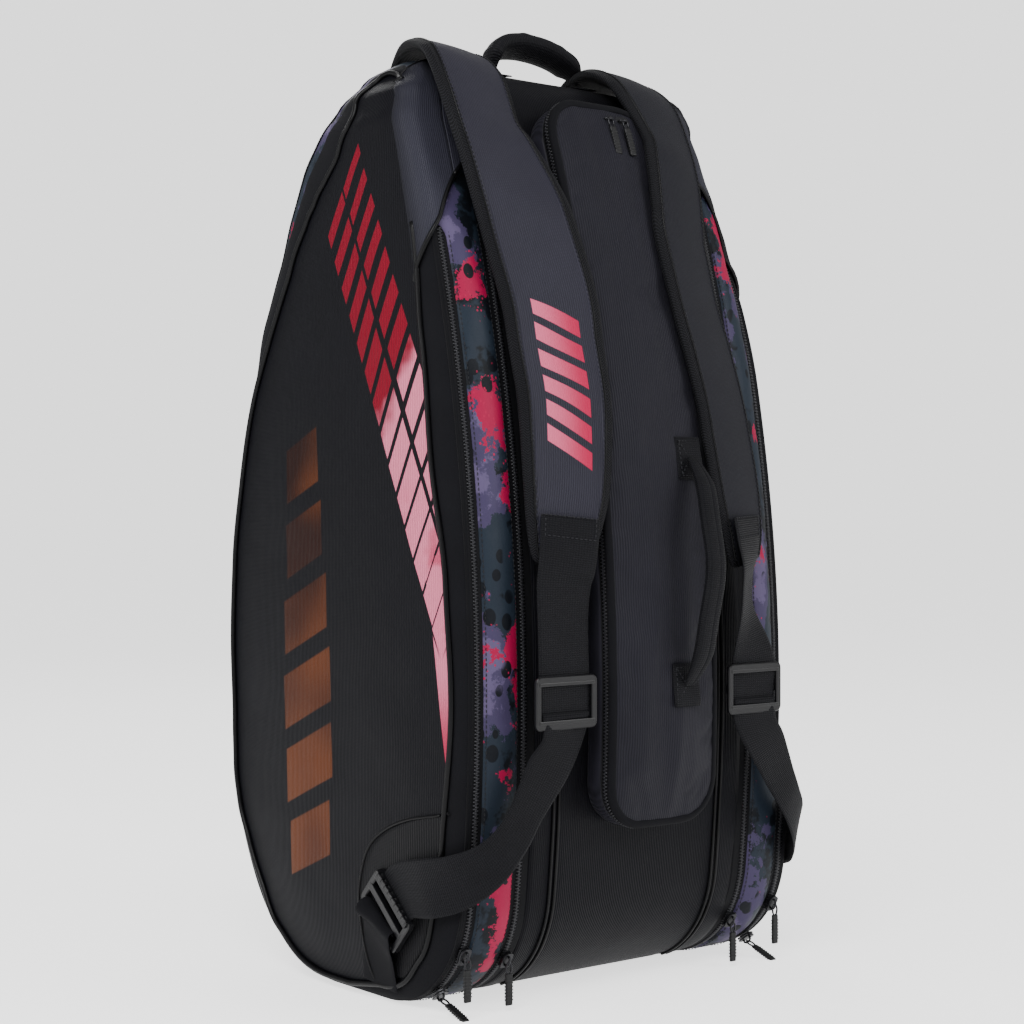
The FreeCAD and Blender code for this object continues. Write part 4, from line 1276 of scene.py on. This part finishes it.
def flap_cloth():
    """Pocket front: cloth that bulges over what it holds, with soft folds running down it."""
    low, high, half, corner = POCKET_LOW + 3, POCKET_HIGH - 3, POCKET_HALF - 3, POCKET_CORNER - 3
    rows, cols = 120, 30
    grid, weave = [], []
    for r in range(rows):
        t = r / (rows - 1)
        t = t - 0.10 * math.sin(2 * math.pi * t) / 1.2
        z = low + (high - low) * t
        edge = min(z - low, high - z)
        width = half - corner + math.sqrt(max(0, corner**2 - (corner - edge) ** 2)) if edge < corner else half
        for c in range(cols):
            u = 2 * c / (cols - 1) - 1
            grid.append((u * width, z, u, edge))
            weave.append((u * width, z))
    top, bottom = [], []
    for x, z, u, edge in grid:
        rise = (1 - abs(u) ** 2.6) * min(1.0, (edge / 42) ** 0.6 if edge > 0 else 0)
        belly = lerp_table([(139, 5), (220, 9), (330, 8.5), (450, 7), (600, 5.5), (712, 4)], z)
        folds = 2.4 * noise.noise(Vector((x / 13, z / 150, 4.0))) + 1.6 * noise.noise(Vector((x / 26, z / 70, 9.0)))
        top.append(back_point(x, z, 26.6 + rise * (belly + folds)))
        bottom.append(back_point(x, z, 23.8))
    count = len(top)
    faces, border, face_mats = sheet_faces(rows, cols)
    flap = make("pocket_front", top + bottom, faces, [MAT["pocket"], MAT["lining"]], weave + weave, face_mats)
    settle(flap, border + list(range(count, 2 * count)), 1.2, 0.9, slack=0.03)
    finish_piece(flap, "pocket_flap", ["pocket_panel"], level=1)


# --- straps ---------------------------------------------------------------------------------------
def pad_path(sign):
    """Centre line of the padding: (y, z, x from the middle, normal y, normal z, tilt, half width).

    The two straps hang a little to the same side, so the left one starts further out than the right one.
    """
    rows = []
    apex_y, apex_z = RAIL.apex
    left = sign < 0
    for angle, out, shift, half in ((62, 6.5, 17, 31), (82, 8.5, 14, 34), (104, 10.0, 9, 38), (128, 12.5, 4, 41),
                                    (150, 16.0, 0, 43)):
        a = math.radians(angle)
        ny, nz = math.cos(a), math.sin(a)
        x = 119 - shift if left else 74
        rows.append((apex_y + (APEX_R + out) * ny, apex_z + (APEX_R + out) * nz, x, ny, nz,
                     -0.08 * (angle - 60) if left else 0.12 * (angle - 60), half))
    for z, out, tilt, half, x_left, x_right in (
            (687, 20, -9, 43, 119, 77), (659, 23, -2, 43, 113, 73), (622, 24, 9, 43, 103, 67),
            (600, 24, 14, 42.5, 98, 64), (547, 24, 16, 42, 89, 68), (509, 24, 15, 41.5, 88, 75),
            (470, 24, 14, 41, 86, 83), (440, 24, 14, 40, 88, 87), (402, 24, 14, 37.5, 92, 93),
            (374, 23.5, 14, 33, 97, 96), (351, 23, 12, 27.5, 101, 99), (340, 22.6, 10, 22, 103, 101)):
        p = back_point(0, z, out + (0 if left else 4) * min(1, max(0, (z - 400) / 100)))
        normal = back_frame(z)[1]
        rows.append((p.y, p.z, x_left if left else x_right - 2, normal.y, normal.z, tilt if left else max(tilt, 15),
                     half if left else half - 4 * min(1, max(0, (z - 400) / 80))))
    return rows


def stations_from(rows, sign, count, thick):
    """Stations for ribbon() from rows of x, y, z, the normal's y and z, tilt and half width."""
    dense = smooth_path(rows, count)
    stations = []
    for i, (x, y, z, ny, nz, tilt, half) in enumerate(dense):
        tangent = tangent_at(dense, i, sign)
        normal = Vector((0, ny, nz))
        normal = (normal - tangent * normal.dot(tangent)).normalized()
        across = normal.cross(tangent).normalized()
        if across.x * sign < 0:
            across = -across
        lean = math.radians(tilt)
        # across points away from the middle of the bag; the inner edge is lifted
        stations.append((Vector((sign * x, y, z)), (across * math.cos(lean) - normal * math.sin(lean)).normalized(),
                         (normal * math.cos(lean) + across * math.sin(lean)).normalized(), half, thick))
    return stations


def strap_stations(sign, count=120):
    """Stations of the pad."""
    return stations_from([(r[2], r[0], r[1], *r[3:]) for r in pad_path(sign)], sign, count, 13.0)


def pad_profile():
    """Crowned padding: h is measured from the middle, in shares of the thickness."""
    front = [(-1.0, 0.0), (-0.97, 0.18), (-0.86, 0.33), (-0.8, 0.36), (-0.74, 0.38), (-0.5, 0.46), (-0.25, 0.5),
             (0, 0.52), (0.25, 0.5), (0.5, 0.46), (0.74, 0.38), (0.8, 0.36), (0.86, 0.33), (0.97, 0.18), (1.0, 0.0)]
    back = [(0.95, -0.25), (0.8, -0.38), (0.4, -0.45), (0, -0.46), (-0.4, -0.45), (-0.8, -0.38), (-0.95, -0.25)]
    return front + back


def strap(sign, side):
    stations = strap_stations(sign)
    count = len(stations)
    shaped = []
    for i, (c, across, normal, half, thick) in enumerate(stations):
        swell = 1 + 0.10 * noise.noise(Vector((i / 9, sign, 2.0)))
        end = min(1.0, (count - 1 - i) / 6, i / 4 + 0.25)
        shaped.append((c, across, normal, half, thick * swell * (0.45 + 0.55 * end)))
    profile = pad_profile()
    cols = len(profile)

    def pick(face):
        j = face[0] % cols
        if j in (0, 1, 2, 11, 12, 13) or j in (14, 21):
            return 1
        return 0 if j < 14 else 2
    face = MAT["strap"] if sign < 0 else MAT["strap_unmarked"]
    pad = ribbon(f"{side}_strap_cloth", shaped, [face, MAT["binding"], MAT["strap_plain"]], profile, pick)
    cover_body, strap_body = f"{side}_cover", f"{side}_strap"
    bend = ((sign * 0.102, -0.11, 0.716), (sign * 0.102, -0.11, 0.652))
    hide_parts(f"{side}_strap_pad", f"{side}_strap_root", f"{side}_strap_yoke")
    finish_piece(pad, None, level=1, blend=(cover_body, strap_body, *bend))
    for k, a in enumerate((-0.8, 0.8)):
        line = [c + across * a * half + normal * thick * 0.36 for c, across, normal, half, thick in shaped[1:-1]]
        seam = cord(f"{side}_strap_seam_{k}", line, 0.8, MAT["piping"], sides=6)
        finish_piece(seam, None, blend=(cover_body, strap_body, *bend))
        inner = a * 0.955
        line = [c + across * inner * half + normal * thick * 0.40 for c, across, normal, half, thick in shaped[1:-1]]
        rows = stitches(f"{side}_strap_stitches_{k}", line, [s[2] for s in shaped[1:-1]], MAT["thread"])
        finish_piece(rows, None, blend=(cover_body, strap_body, *bend))
    webbing(sign, side)


def webbing(sign, side):
    """Upper webbing sewn over the pad's end and down to the adjuster, and the lower run to the ladder lock."""
    strap_body, cover_body = f"{side}_strap", f"{side}_cover"
    rows = []
    for z, out, tilt, x, half in ((378, 31.5, 14, 97, 25), (370, 31.3, 14, 98, 25), (355, 30.8, 12, 100, 25),
                                  (340, 29.4, 10, 102, 25), (326, 26.0, 5, 103, 25), (300, 23.4, 0, 103, 25),
                                  (262, 22.8, 0, 102.5, 25), (240, 22.6, 0, 102, 25), (223, 22.8, 0, 102, 25)):
        turn = lerp_table([(262, 0), (290, 30), (330, 36), (360, 24), (378, 20)], z) if sign > 0 else 0
        p = back_point(x, z, out)
        normal = back_frame(z)[1]
        rows.append((x - 0.22 * turn, p.y, p.z, normal.y, normal.z, max(tilt, turn), half))
    stations = stations_from(rows, sign, 70, 1.9)
    piece = ribbon(f"{side}_upper_web", stations, MAT["webbing"], flat_profile())
    finish_piece(piece, strap_body, [f"{side}_upper_webbing"])
    top = stations[0:8]
    inner, outer = ([s[0] + s[1] * a * s[3] + s[2] * 1.9 for s in top] for a in (-0.86, 0.86))
    box = inner + outer[::-1] + inner[:2]
    rows_of_thread = stitches(f"{side}_web_box_stitches", box, [top[0][2]] * (len(box) - 1), MAT["thread"], radius=0.5)
    finish_piece(rows_of_thread, strap_body)
    # The lower run leaves the adjuster, goes straight down, then slants round the bag's corner to the lock.
    guide = [
        ((102, *back_point(0, 232, 24.6)[1:]), (1, 0, 0)), ((104, *back_point(0, 214, 24.0)[1:]), (1, -0.1, 0)),
        ((120, *back_point(0, 190, 24.5)[1:]), (0.92, 0, 0.4)), ((136, *back_point(0, 165, 24.0)[1:]), (0.8, 0, 0.55)),
        ((150, -187, 142), (0.6, 0.1, 0.6)), ((166, -179, 122), (0.43, 0.15, 0.68)),
        ((181, -160, 108), (0.28, 0.2, 0.85)), ((190, -136, 101), (0.1, 0.3, 0.92)),
        ((191.5, -114, 97), (0.02, 0.5, 0.85)), ((190.0, -101, 93), (0, 0.66, 0.75)),
        ((188.5, -92, 86.5), (0, 0.743, 0.669)),
    ]
    dense = smooth_path([(*point, *across) for point, across in guide], 60)
    stations = []
    for i, (x, y, z, ax, ay, az) in enumerate(dense):
        across = Vector((sign * ax, ay, az)).normalized()
        normal = tangent_at(dense, i, sign).cross(across).normalized()
        outward = Vector((sign * 0.6, -1.0, 0)) if x < 185 else Vector((sign, -0.2, 0))
        if normal.dot(outward) < 0:
            normal = -normal
        waist = math.exp(-((i / len(dense) - 0.42) / 0.22) ** 2)
        stations.append((Vector((sign * x, y, z)), across, normal, 23.5 - 8.0 * waist, 1.9))
    piece = ribbon(f"{side}_lower_web", stations, MAT["webbing"], flat_profile())
    start, end = (sign * 0.104, -0.190, 0.214), (sign * 0.185, -0.130, 0.110)
    finish_piece(piece, None, [f"{side}_lower_webbing"], blend=(strap_body, cover_body, start, end))


def hardware(sign, side):
    web_y = BACK_Y - 22.0 - 0.8
    axes = (Vector((1, 0, 0)), Vector((0, 0, 1)), Vector((0, -1, 0)))
    matrix = place(Vector((sign * STRAP_X, web_y - 2.6, GLIDE_Z)), *axes)
    glide = moulded_frame(f"{side}_glide_frame", matrix, 61, 41, 5.4, 3.4, MAT["plastic"],
                          bars=[(0, -3.4, 8.0, 2.6), (14.5, 0.6, 3.0, 3.0), (-14.5, 0.6, 3.0, 3.0)])
    finish_piece(glide, f"{side}_adjuster", [f"{side}_tri_glide"])
    lean = math.radians(42)
    along = Vector((0, math.cos(lean), math.sin(lean)))
    up = Vector((0, -math.sin(lean), math.cos(lean)))
    matrix = place(Vector((sign * 190.8, -82, 76)), along, up, Vector((sign, 0, 0)))
    teeth = [(x, 16.6, 3.6, (3.4, 4.4, 4.2)) for x in range(-24, 25, 6)]
    teeth += [(x, -15.6, 2.4, (3.2, 3.0, 2.4)) for x in range(-24, 25, 6)]
    lock = moulded_frame(f"{side}_lock_frame", matrix, 59, 36, 5.6, 6.0, MAT["plastic"],
                         bars=[(0, 0.8, 5.4, 5.2), (14.6, 2.0, 6.4, 6.4)], teeth=teeth)
    finish_piece(lock, f"{side}_cover", [f"{side}_ladder_lock"])
    # Cloth tab: up from the panel's lower edge, round the lock's lower bar and back.
    dense = smooth_path([(182.0, -62, 13), (185.0, -64, 28), (189.0, -68, 45), (193.6, -72, 60), (194.8, -73, 66),
                         (190.5, -73.5, 69.5), (187.0, -72, 62)], 40)
    stations, last = [], None
    for i, (x, y, z) in enumerate(dense):
        tangent = tangent_at(dense, i, sign)
        across = Vector((0, 1, 0)).lerp(along, min(1.0, 1.7 * i / len(dense)))
        across = (across - tangent * across.dot(tangent)).normalized()
        normal = tangent.cross(across).normalized()
        if normal.dot(last or Vector((sign, 0, 0))) < 0:
            normal = -normal
        last = normal
        stations.append((Vector((sign * x, y, z)), across, normal, 23.0, 1.8))
    tab = ribbon(f"{side}_lock_tab", stations, MAT["trim"], flat_profile())
    finish_piece(tab, f"{side}_cover", [f"{side}_anchor_tab"], level=1)


# --- zip sliders ----------------------------------------------------------------------------------
SLIDER_SINK, PULL_LIFT = 2.1, 6.4     # body below the zip's surface, and the pull's pivot above the body's origin


def slider(name, body, origin, travel, out, replaces):
    """Slider body: two tapered plates joined at the nose, and the bridge that the pull hangs on."""
    across = travel.cross(out).normalized()
    m = place(origin, across, travel, out)
    outline = [(-4.2, -6.4), (-2.6, -7.4), (2.6, -7.4), (4.2, -6.4), (5.0, 2.0), (4.4, 5.4), (1.6, 7.2), (-1.6, 7.2),
               (-4.4, 5.4), (-5.0, 2.0)]
    parts = []
    for z0, z1 in ((0.1, 1.3), (2.3, 3.5)):
        verts = [m @ Vector((x, y, z)) for z in (z0, z1) for x, y in outline]
        count = len(outline)
        faces = [tuple(range(count))[::-1], tuple(count + k for k in range(count))]
        faces += [(k, (k + 1) % count, count + (k + 1) % count, count + k) for k in range(count)]
        parts.append(make(name + "_p", verts, faces, MAT["metal"], smooth=False))
    bridge = [m @ Vector(p) for p in ((0, -4.5, 3.2), (0, -4.2, 5.4), (0, -2.4, 6.6), (0, 1.5, 6.6), (0, 3.6, 5.4),
                                      (0, 4.2, 3.2))]
    parts.append(cord(name + "_b", bridge, 0.95, MAT["metal"], sides=8))
    parts.append(boxes(name + "_n", [(m @ Matrix.Translation((0, 5.0, 1.8)), (3.0, 2.4, 3.0))], MAT["metal"], 0.4))
    return finish_piece(joined(name, parts), body, replaces)


def pull(name, body, pivot, direction, face, replaces):
    """Wire loop and a gripped rubber tag."""
    across = direction.cross(face).normalized()
    m = place(pivot, across, direction, face)
    turns = [2 * math.pi * k / 20 for k in range(20)]
    loop = [m @ Vector((2.6 * math.cos(a), 3.6 + 4.6 * math.sin(a), 0)) for a in turns]
    parts = [cord(name + "_l", loop, 0.8, MAT["metal"], closed=True, sides=8)]
    parts.append(boxes(name + "_t", [(m @ Matrix.Translation((0, 20.0, 0)), (6.4, 25.0, 2.6))], MAT["rubber"], 1.1, 3))
    ribs = [(m @ Matrix.Translation((0, 12.5 + 2.6 * k, 0)), (6.9, 1.1, 3.1)) for k in range(7)]
    parts.append(boxes(name + "_r", ribs, MAT["rubber"], 0.4))
    return finish_piece(joined(name, parts), body, replaces)


def sliders():
    for sign, side in ((-1, "left"), (1, "right")):
        for key, x, degrees, swing in (("outer_slider_a", OUTER_ZIP_X, 207, 0),
                                       ("outer_slider_b", OUTER_ZIP_X, 236, -70),
                                       ("inner_slider", INNER_ZIP_X, 214, 0)):
            low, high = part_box(f"{side}_{key}")
            centre = (Vector(low) + Vector(high)) / 2 / MM
            a = math.radians(degrees)
            normal = Vector((0, math.cos(a), math.sin(a)))
            travel = Vector((0, math.sin(a), -math.cos(a)))
            origin = Vector((sign * x, centre.y, centre.z)) - normal * SLIDER_SINK
            slider(f"{side}_{key}_body", f"{side}_{key}", origin, travel, normal, [f"{side}_{key}"])
            pull_body = f"{side}_{key.replace('slider', 'pull')}"
            turn = math.radians(swing)
            hang = Vector((0, math.sin(turn), -math.cos(turn)))
            face = Vector((0, -math.cos(turn), -math.sin(turn)))
            pull(f"{pull_body}_tag", pull_body, origin + normal * PULL_LIFT, hang, face, [pull_body])
    tangent, normal = back_frame(707)
    for key in ("a", "b"):
        body, pull_body = f"pocket_slider_{key}", f"pocket_pull_{key}"
        low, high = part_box(body)
        origin = (Vector(low) + Vector(high)) / 2 / MM - normal * SLIDER_SINK
        slider(f"{body}_body", body, origin, Vector((1, 0, 0)), normal, [body])
        pull(f"{pull_body}_tag", pull_body, origin + normal * PULL_LIFT, tangent, normal, [pull_body])


# --- handles --------------------------------------------------------------------------------------
def grab_handle():
    """Padded loop over the narrow end with bound edges and two sewn ends."""
    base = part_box("grab_handle")
    centre_y = (base[0][1] + base[1][1]) / 2 / MM
    z0, z1 = base[0][2] / MM, base[1][2] / MM
    rows = []
    for k in range(33):
        a = math.pi * k / 32
        x = -46.5 * math.cos(a) - 12.0 * math.sin(a) ** 1.5
        z = z0 + 1.5 + (z1 - z0 - 10.0) * math.sin(a) ** 0.72
        pinch = min(1.0, math.sin(a) * 2.2)
        crush = 0.9 * noise.noise(Vector((k * 0.9, 0.0, 5.0))) * pinch
        rows.append((x, centre_y, z + crush, 4.0 + (10.0 + crush) * pinch, 5.0 + (9.0 + crush) * pinch))
    stations = []
    for i, (x, y, z, half, thick) in enumerate(rows):
        tangent = tangent_at(rows, i)
        twist = math.radians(34) * math.sin(math.pi * i / (len(rows) - 1))
        flat = tangent.cross(Vector((0, 1, 0))).normalized()
        across = Vector((0, math.cos(twist), 0)) + flat * math.sin(twist) * (-1 if flat.z > 0 else 1)
        normal = across.cross(tangent) * -1
        if normal.z < 0 and abs(normal.z) > 0.05:
            normal = -normal
        stations.append((Vector((x, y, z)), across, normal, half, thick))
    profile = [(-1, 0), (-0.9, 0.34), (-0.5, 0.5), (0, 0.55), (0.5, 0.5), (0.9, 0.34), (1, 0),
               (0.9, -0.34), (0.5, -0.5), (0, -0.52), (-0.5, -0.5), (-0.9, -0.34)]
    fixed, last = [], None
    for c, across, normal, half, thick in stations:
        if last and normal.dot(last) < 0:
            normal = -normal
        last = normal
        fixed.append((c, across, normal, half, thick))
    handle = ribbon("top_handle_pad", fixed, MAT["webbing"], profile)
    finish_piece(handle, "grab_loop", ["grab_handle"], level=1)
    tabs = []
    for sign in (-1, 1):
        rows = []
        apex_y, apex_z = RAIL.apex
        for k in range(13):
            a = math.radians(78 + 24 * k / 12)
            spot = (sign * 47, apex_y + (APEX_R + 0.5) * math.cos(a), apex_z + (APEX_R + 0.5) * math.sin(a))
            rows.append((Vector(spot),
                         Vector((1, 0, 0)), Vector((0, math.cos(a), math.sin(a))), 11.0, 1.2))
        tabs.append(ribbon(f"tab_{sign}", rows, MAT["webbing"], flat_profile()))
    finish_piece(joined("top_handle_tabs", tabs), "core", ["grab_tabs"])


def flap_surface():
    """Function giving the point that stands off the finished pocket front at (x, z)."""
    tree = surface_tree("pocket_front")

    def surface(x, z, off):
        hit = tree.ray_cast(Vector((x * MM, -0.4, z * MM)), Vector((0, 1, 0)))[0]
        y = hit.y / MM if hit else back_point(x, z, 33).y
        return Vector((x, y, z)) + back_frame(z)[1] * off
    return surface


def carry_handle():
    """Webbing loop on the pocket, with box-stitched patches at both ends."""
    surface = flap_surface()
    ends = ((CARRY_HIGH_X, CARRY_HIGH_Z), (CARRY_LOW_X, CARRY_LOW_Z))
    high, low = (surface(x, z, 1.2) for x, z in ends)
    axis = (high - low).normalized()
    across = (Vector((1, 0, 0)) - axis * axis.x).normalized()
    out = across.cross(axis) * -1
    if out.y > 0:
        out = -out
    stations = []
    for k in range(41):
        t = k / 40
        bow = math.sin(math.pi * t)
        full = min(1.0, bow * 2.4)
        p = low.lerp(high, t) + out * (1.8 + 25.0 * bow ** 0.8) + across * (1.2 * math.sin(5 * math.pi * t) * full)
        stations.append([p, across, out, 5.5 + 4.5 * full, 2.4 + 6.0 * full])
    centres = [station[0] for station in stations]
    for i, station in enumerate(stations):
        station[2] = tangent_at(centres, i).cross(station[1]).normalized()
        if station[2].dot(out) < 0:
            station[2] = -station[2]
    # Webbing folded over lengthwise: a flattened tube with the fold's seam along its outer face.
    folded = [(-1.0, 0.3), (-1.0, 0.7), (-0.8, 0.95), (-0.3, 1.0), (0.1, 1.0), (0.2, 0.84), (0.3, 0.98), (0.8, 0.9),
              (1.0, 0.65), (1.0, 0.3), (0.75, 0.05), (0.3, 0.0), (-0.3, 0.0), (-0.75, 0.05)]
    loop = ribbon("carry_handle_web", [tuple(s) for s in stations], MAT["webbing"], folded)
    finish_piece(loop, "carry_loop", ["carry_handle"], level=1)
    parts, threads = [], []
    for cx, z in ends:
        heights = [z + 17 - 34 * k / 8 for k in range(9)]
        rows = [(surface(cx, h, 0.4), Vector((1, 0, 0)), back_frame(h)[1], 14.0, 1.8) for h in heights]
        parts.append(ribbon(f"carry_patch_{cx:.0f}", rows, MAT["webbing"], flat_profile(0.1)))
        corners = ((-11, 14), (11, 14), (11, -14), (-11, -14), (-11, 14), (11, -14), (11, 14), (-11, -14))
        line = [surface(cx + x, z + dz, 2.3) for x, dz in corners]
        threads.append(stitches(f"carry_stitch_{cx:.0f}", line, [back_frame(z)[1]] * 7, MAT["thread"], radius=0.5))
    finish_piece(joined("carry_patch_webs", parts), "pocket_flap", ["carry_patches"])
    finish_piece(joined("carry_patch_threads", threads), "pocket_flap")


# --- cloth simulation -----------------------------------------------------------------------------
def settle(obj, pinned, pressure, cap, slack=0.02, stiffness=14.0, bending=0.4, frames=18):
    """Lets a padded piece swell and wrinkle under pressure, with its seams held, and keeps the result."""
    group = obj.vertex_groups.new(name="seam")
    group.add(pinned, 1.0, "REPLACE")
    start = [v.co.copy() for v in obj.data.vertices]
    modifier = obj.modifiers.new("cloth", "CLOTH")
    cloth = modifier.settings
    cloth.quality = 5
    cloth.mass = 0.2
    cloth.tension_stiffness = cloth.compression_stiffness = stiffness
    cloth.shear_stiffness = stiffness * 0.5
    cloth.bending_stiffness = bending
    cloth.air_damping = 2.0
    cloth.use_pressure = True
    cloth.uniform_pressure_force = pressure
    cloth.vertex_group_mass = "seam"
    cloth.shrink_min = -slack
    cloth.effector_weights.gravity = 0.0
    modifier.collision_settings.use_collision = False
    modifier.point_cache.frame_start, modifier.point_cache.frame_end = 1, frames
    scene = bpy.context.scene
    for number in range(1, frames + 1):
        scene.frame_set(number)
    evaluated = obj.evaluated_get(bpy.context.evaluated_depsgraph_get())
    settled = [v.co.copy() for v in evaluated.data.vertices]
    obj.modifiers.remove(modifier)
    obj.vertex_groups.clear()
    for vertex, before, after in zip(obj.data.vertices, start, settled):
        move = after - before
        if move.length > cap * MM:
            move = move.normalized() * cap * MM
        vertex.co = before + move
    scene.frame_set(1)


# --- all ------------------------------------------------------------------------------------------
stage()
centre_band()
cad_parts["base_board"].material_slots[0].material = MAT["board"]
pocket()
grab_handle()
carry_handle()
for which, label in ((-1, "left"), (1, "right")):
    outline_zips(which, label)
    wing(which, label)
    cover(which, label)
    cap(which, label)
    strap(which, label)
    hardware(which, label)
sliders()

bpy.context.view_layer.update()
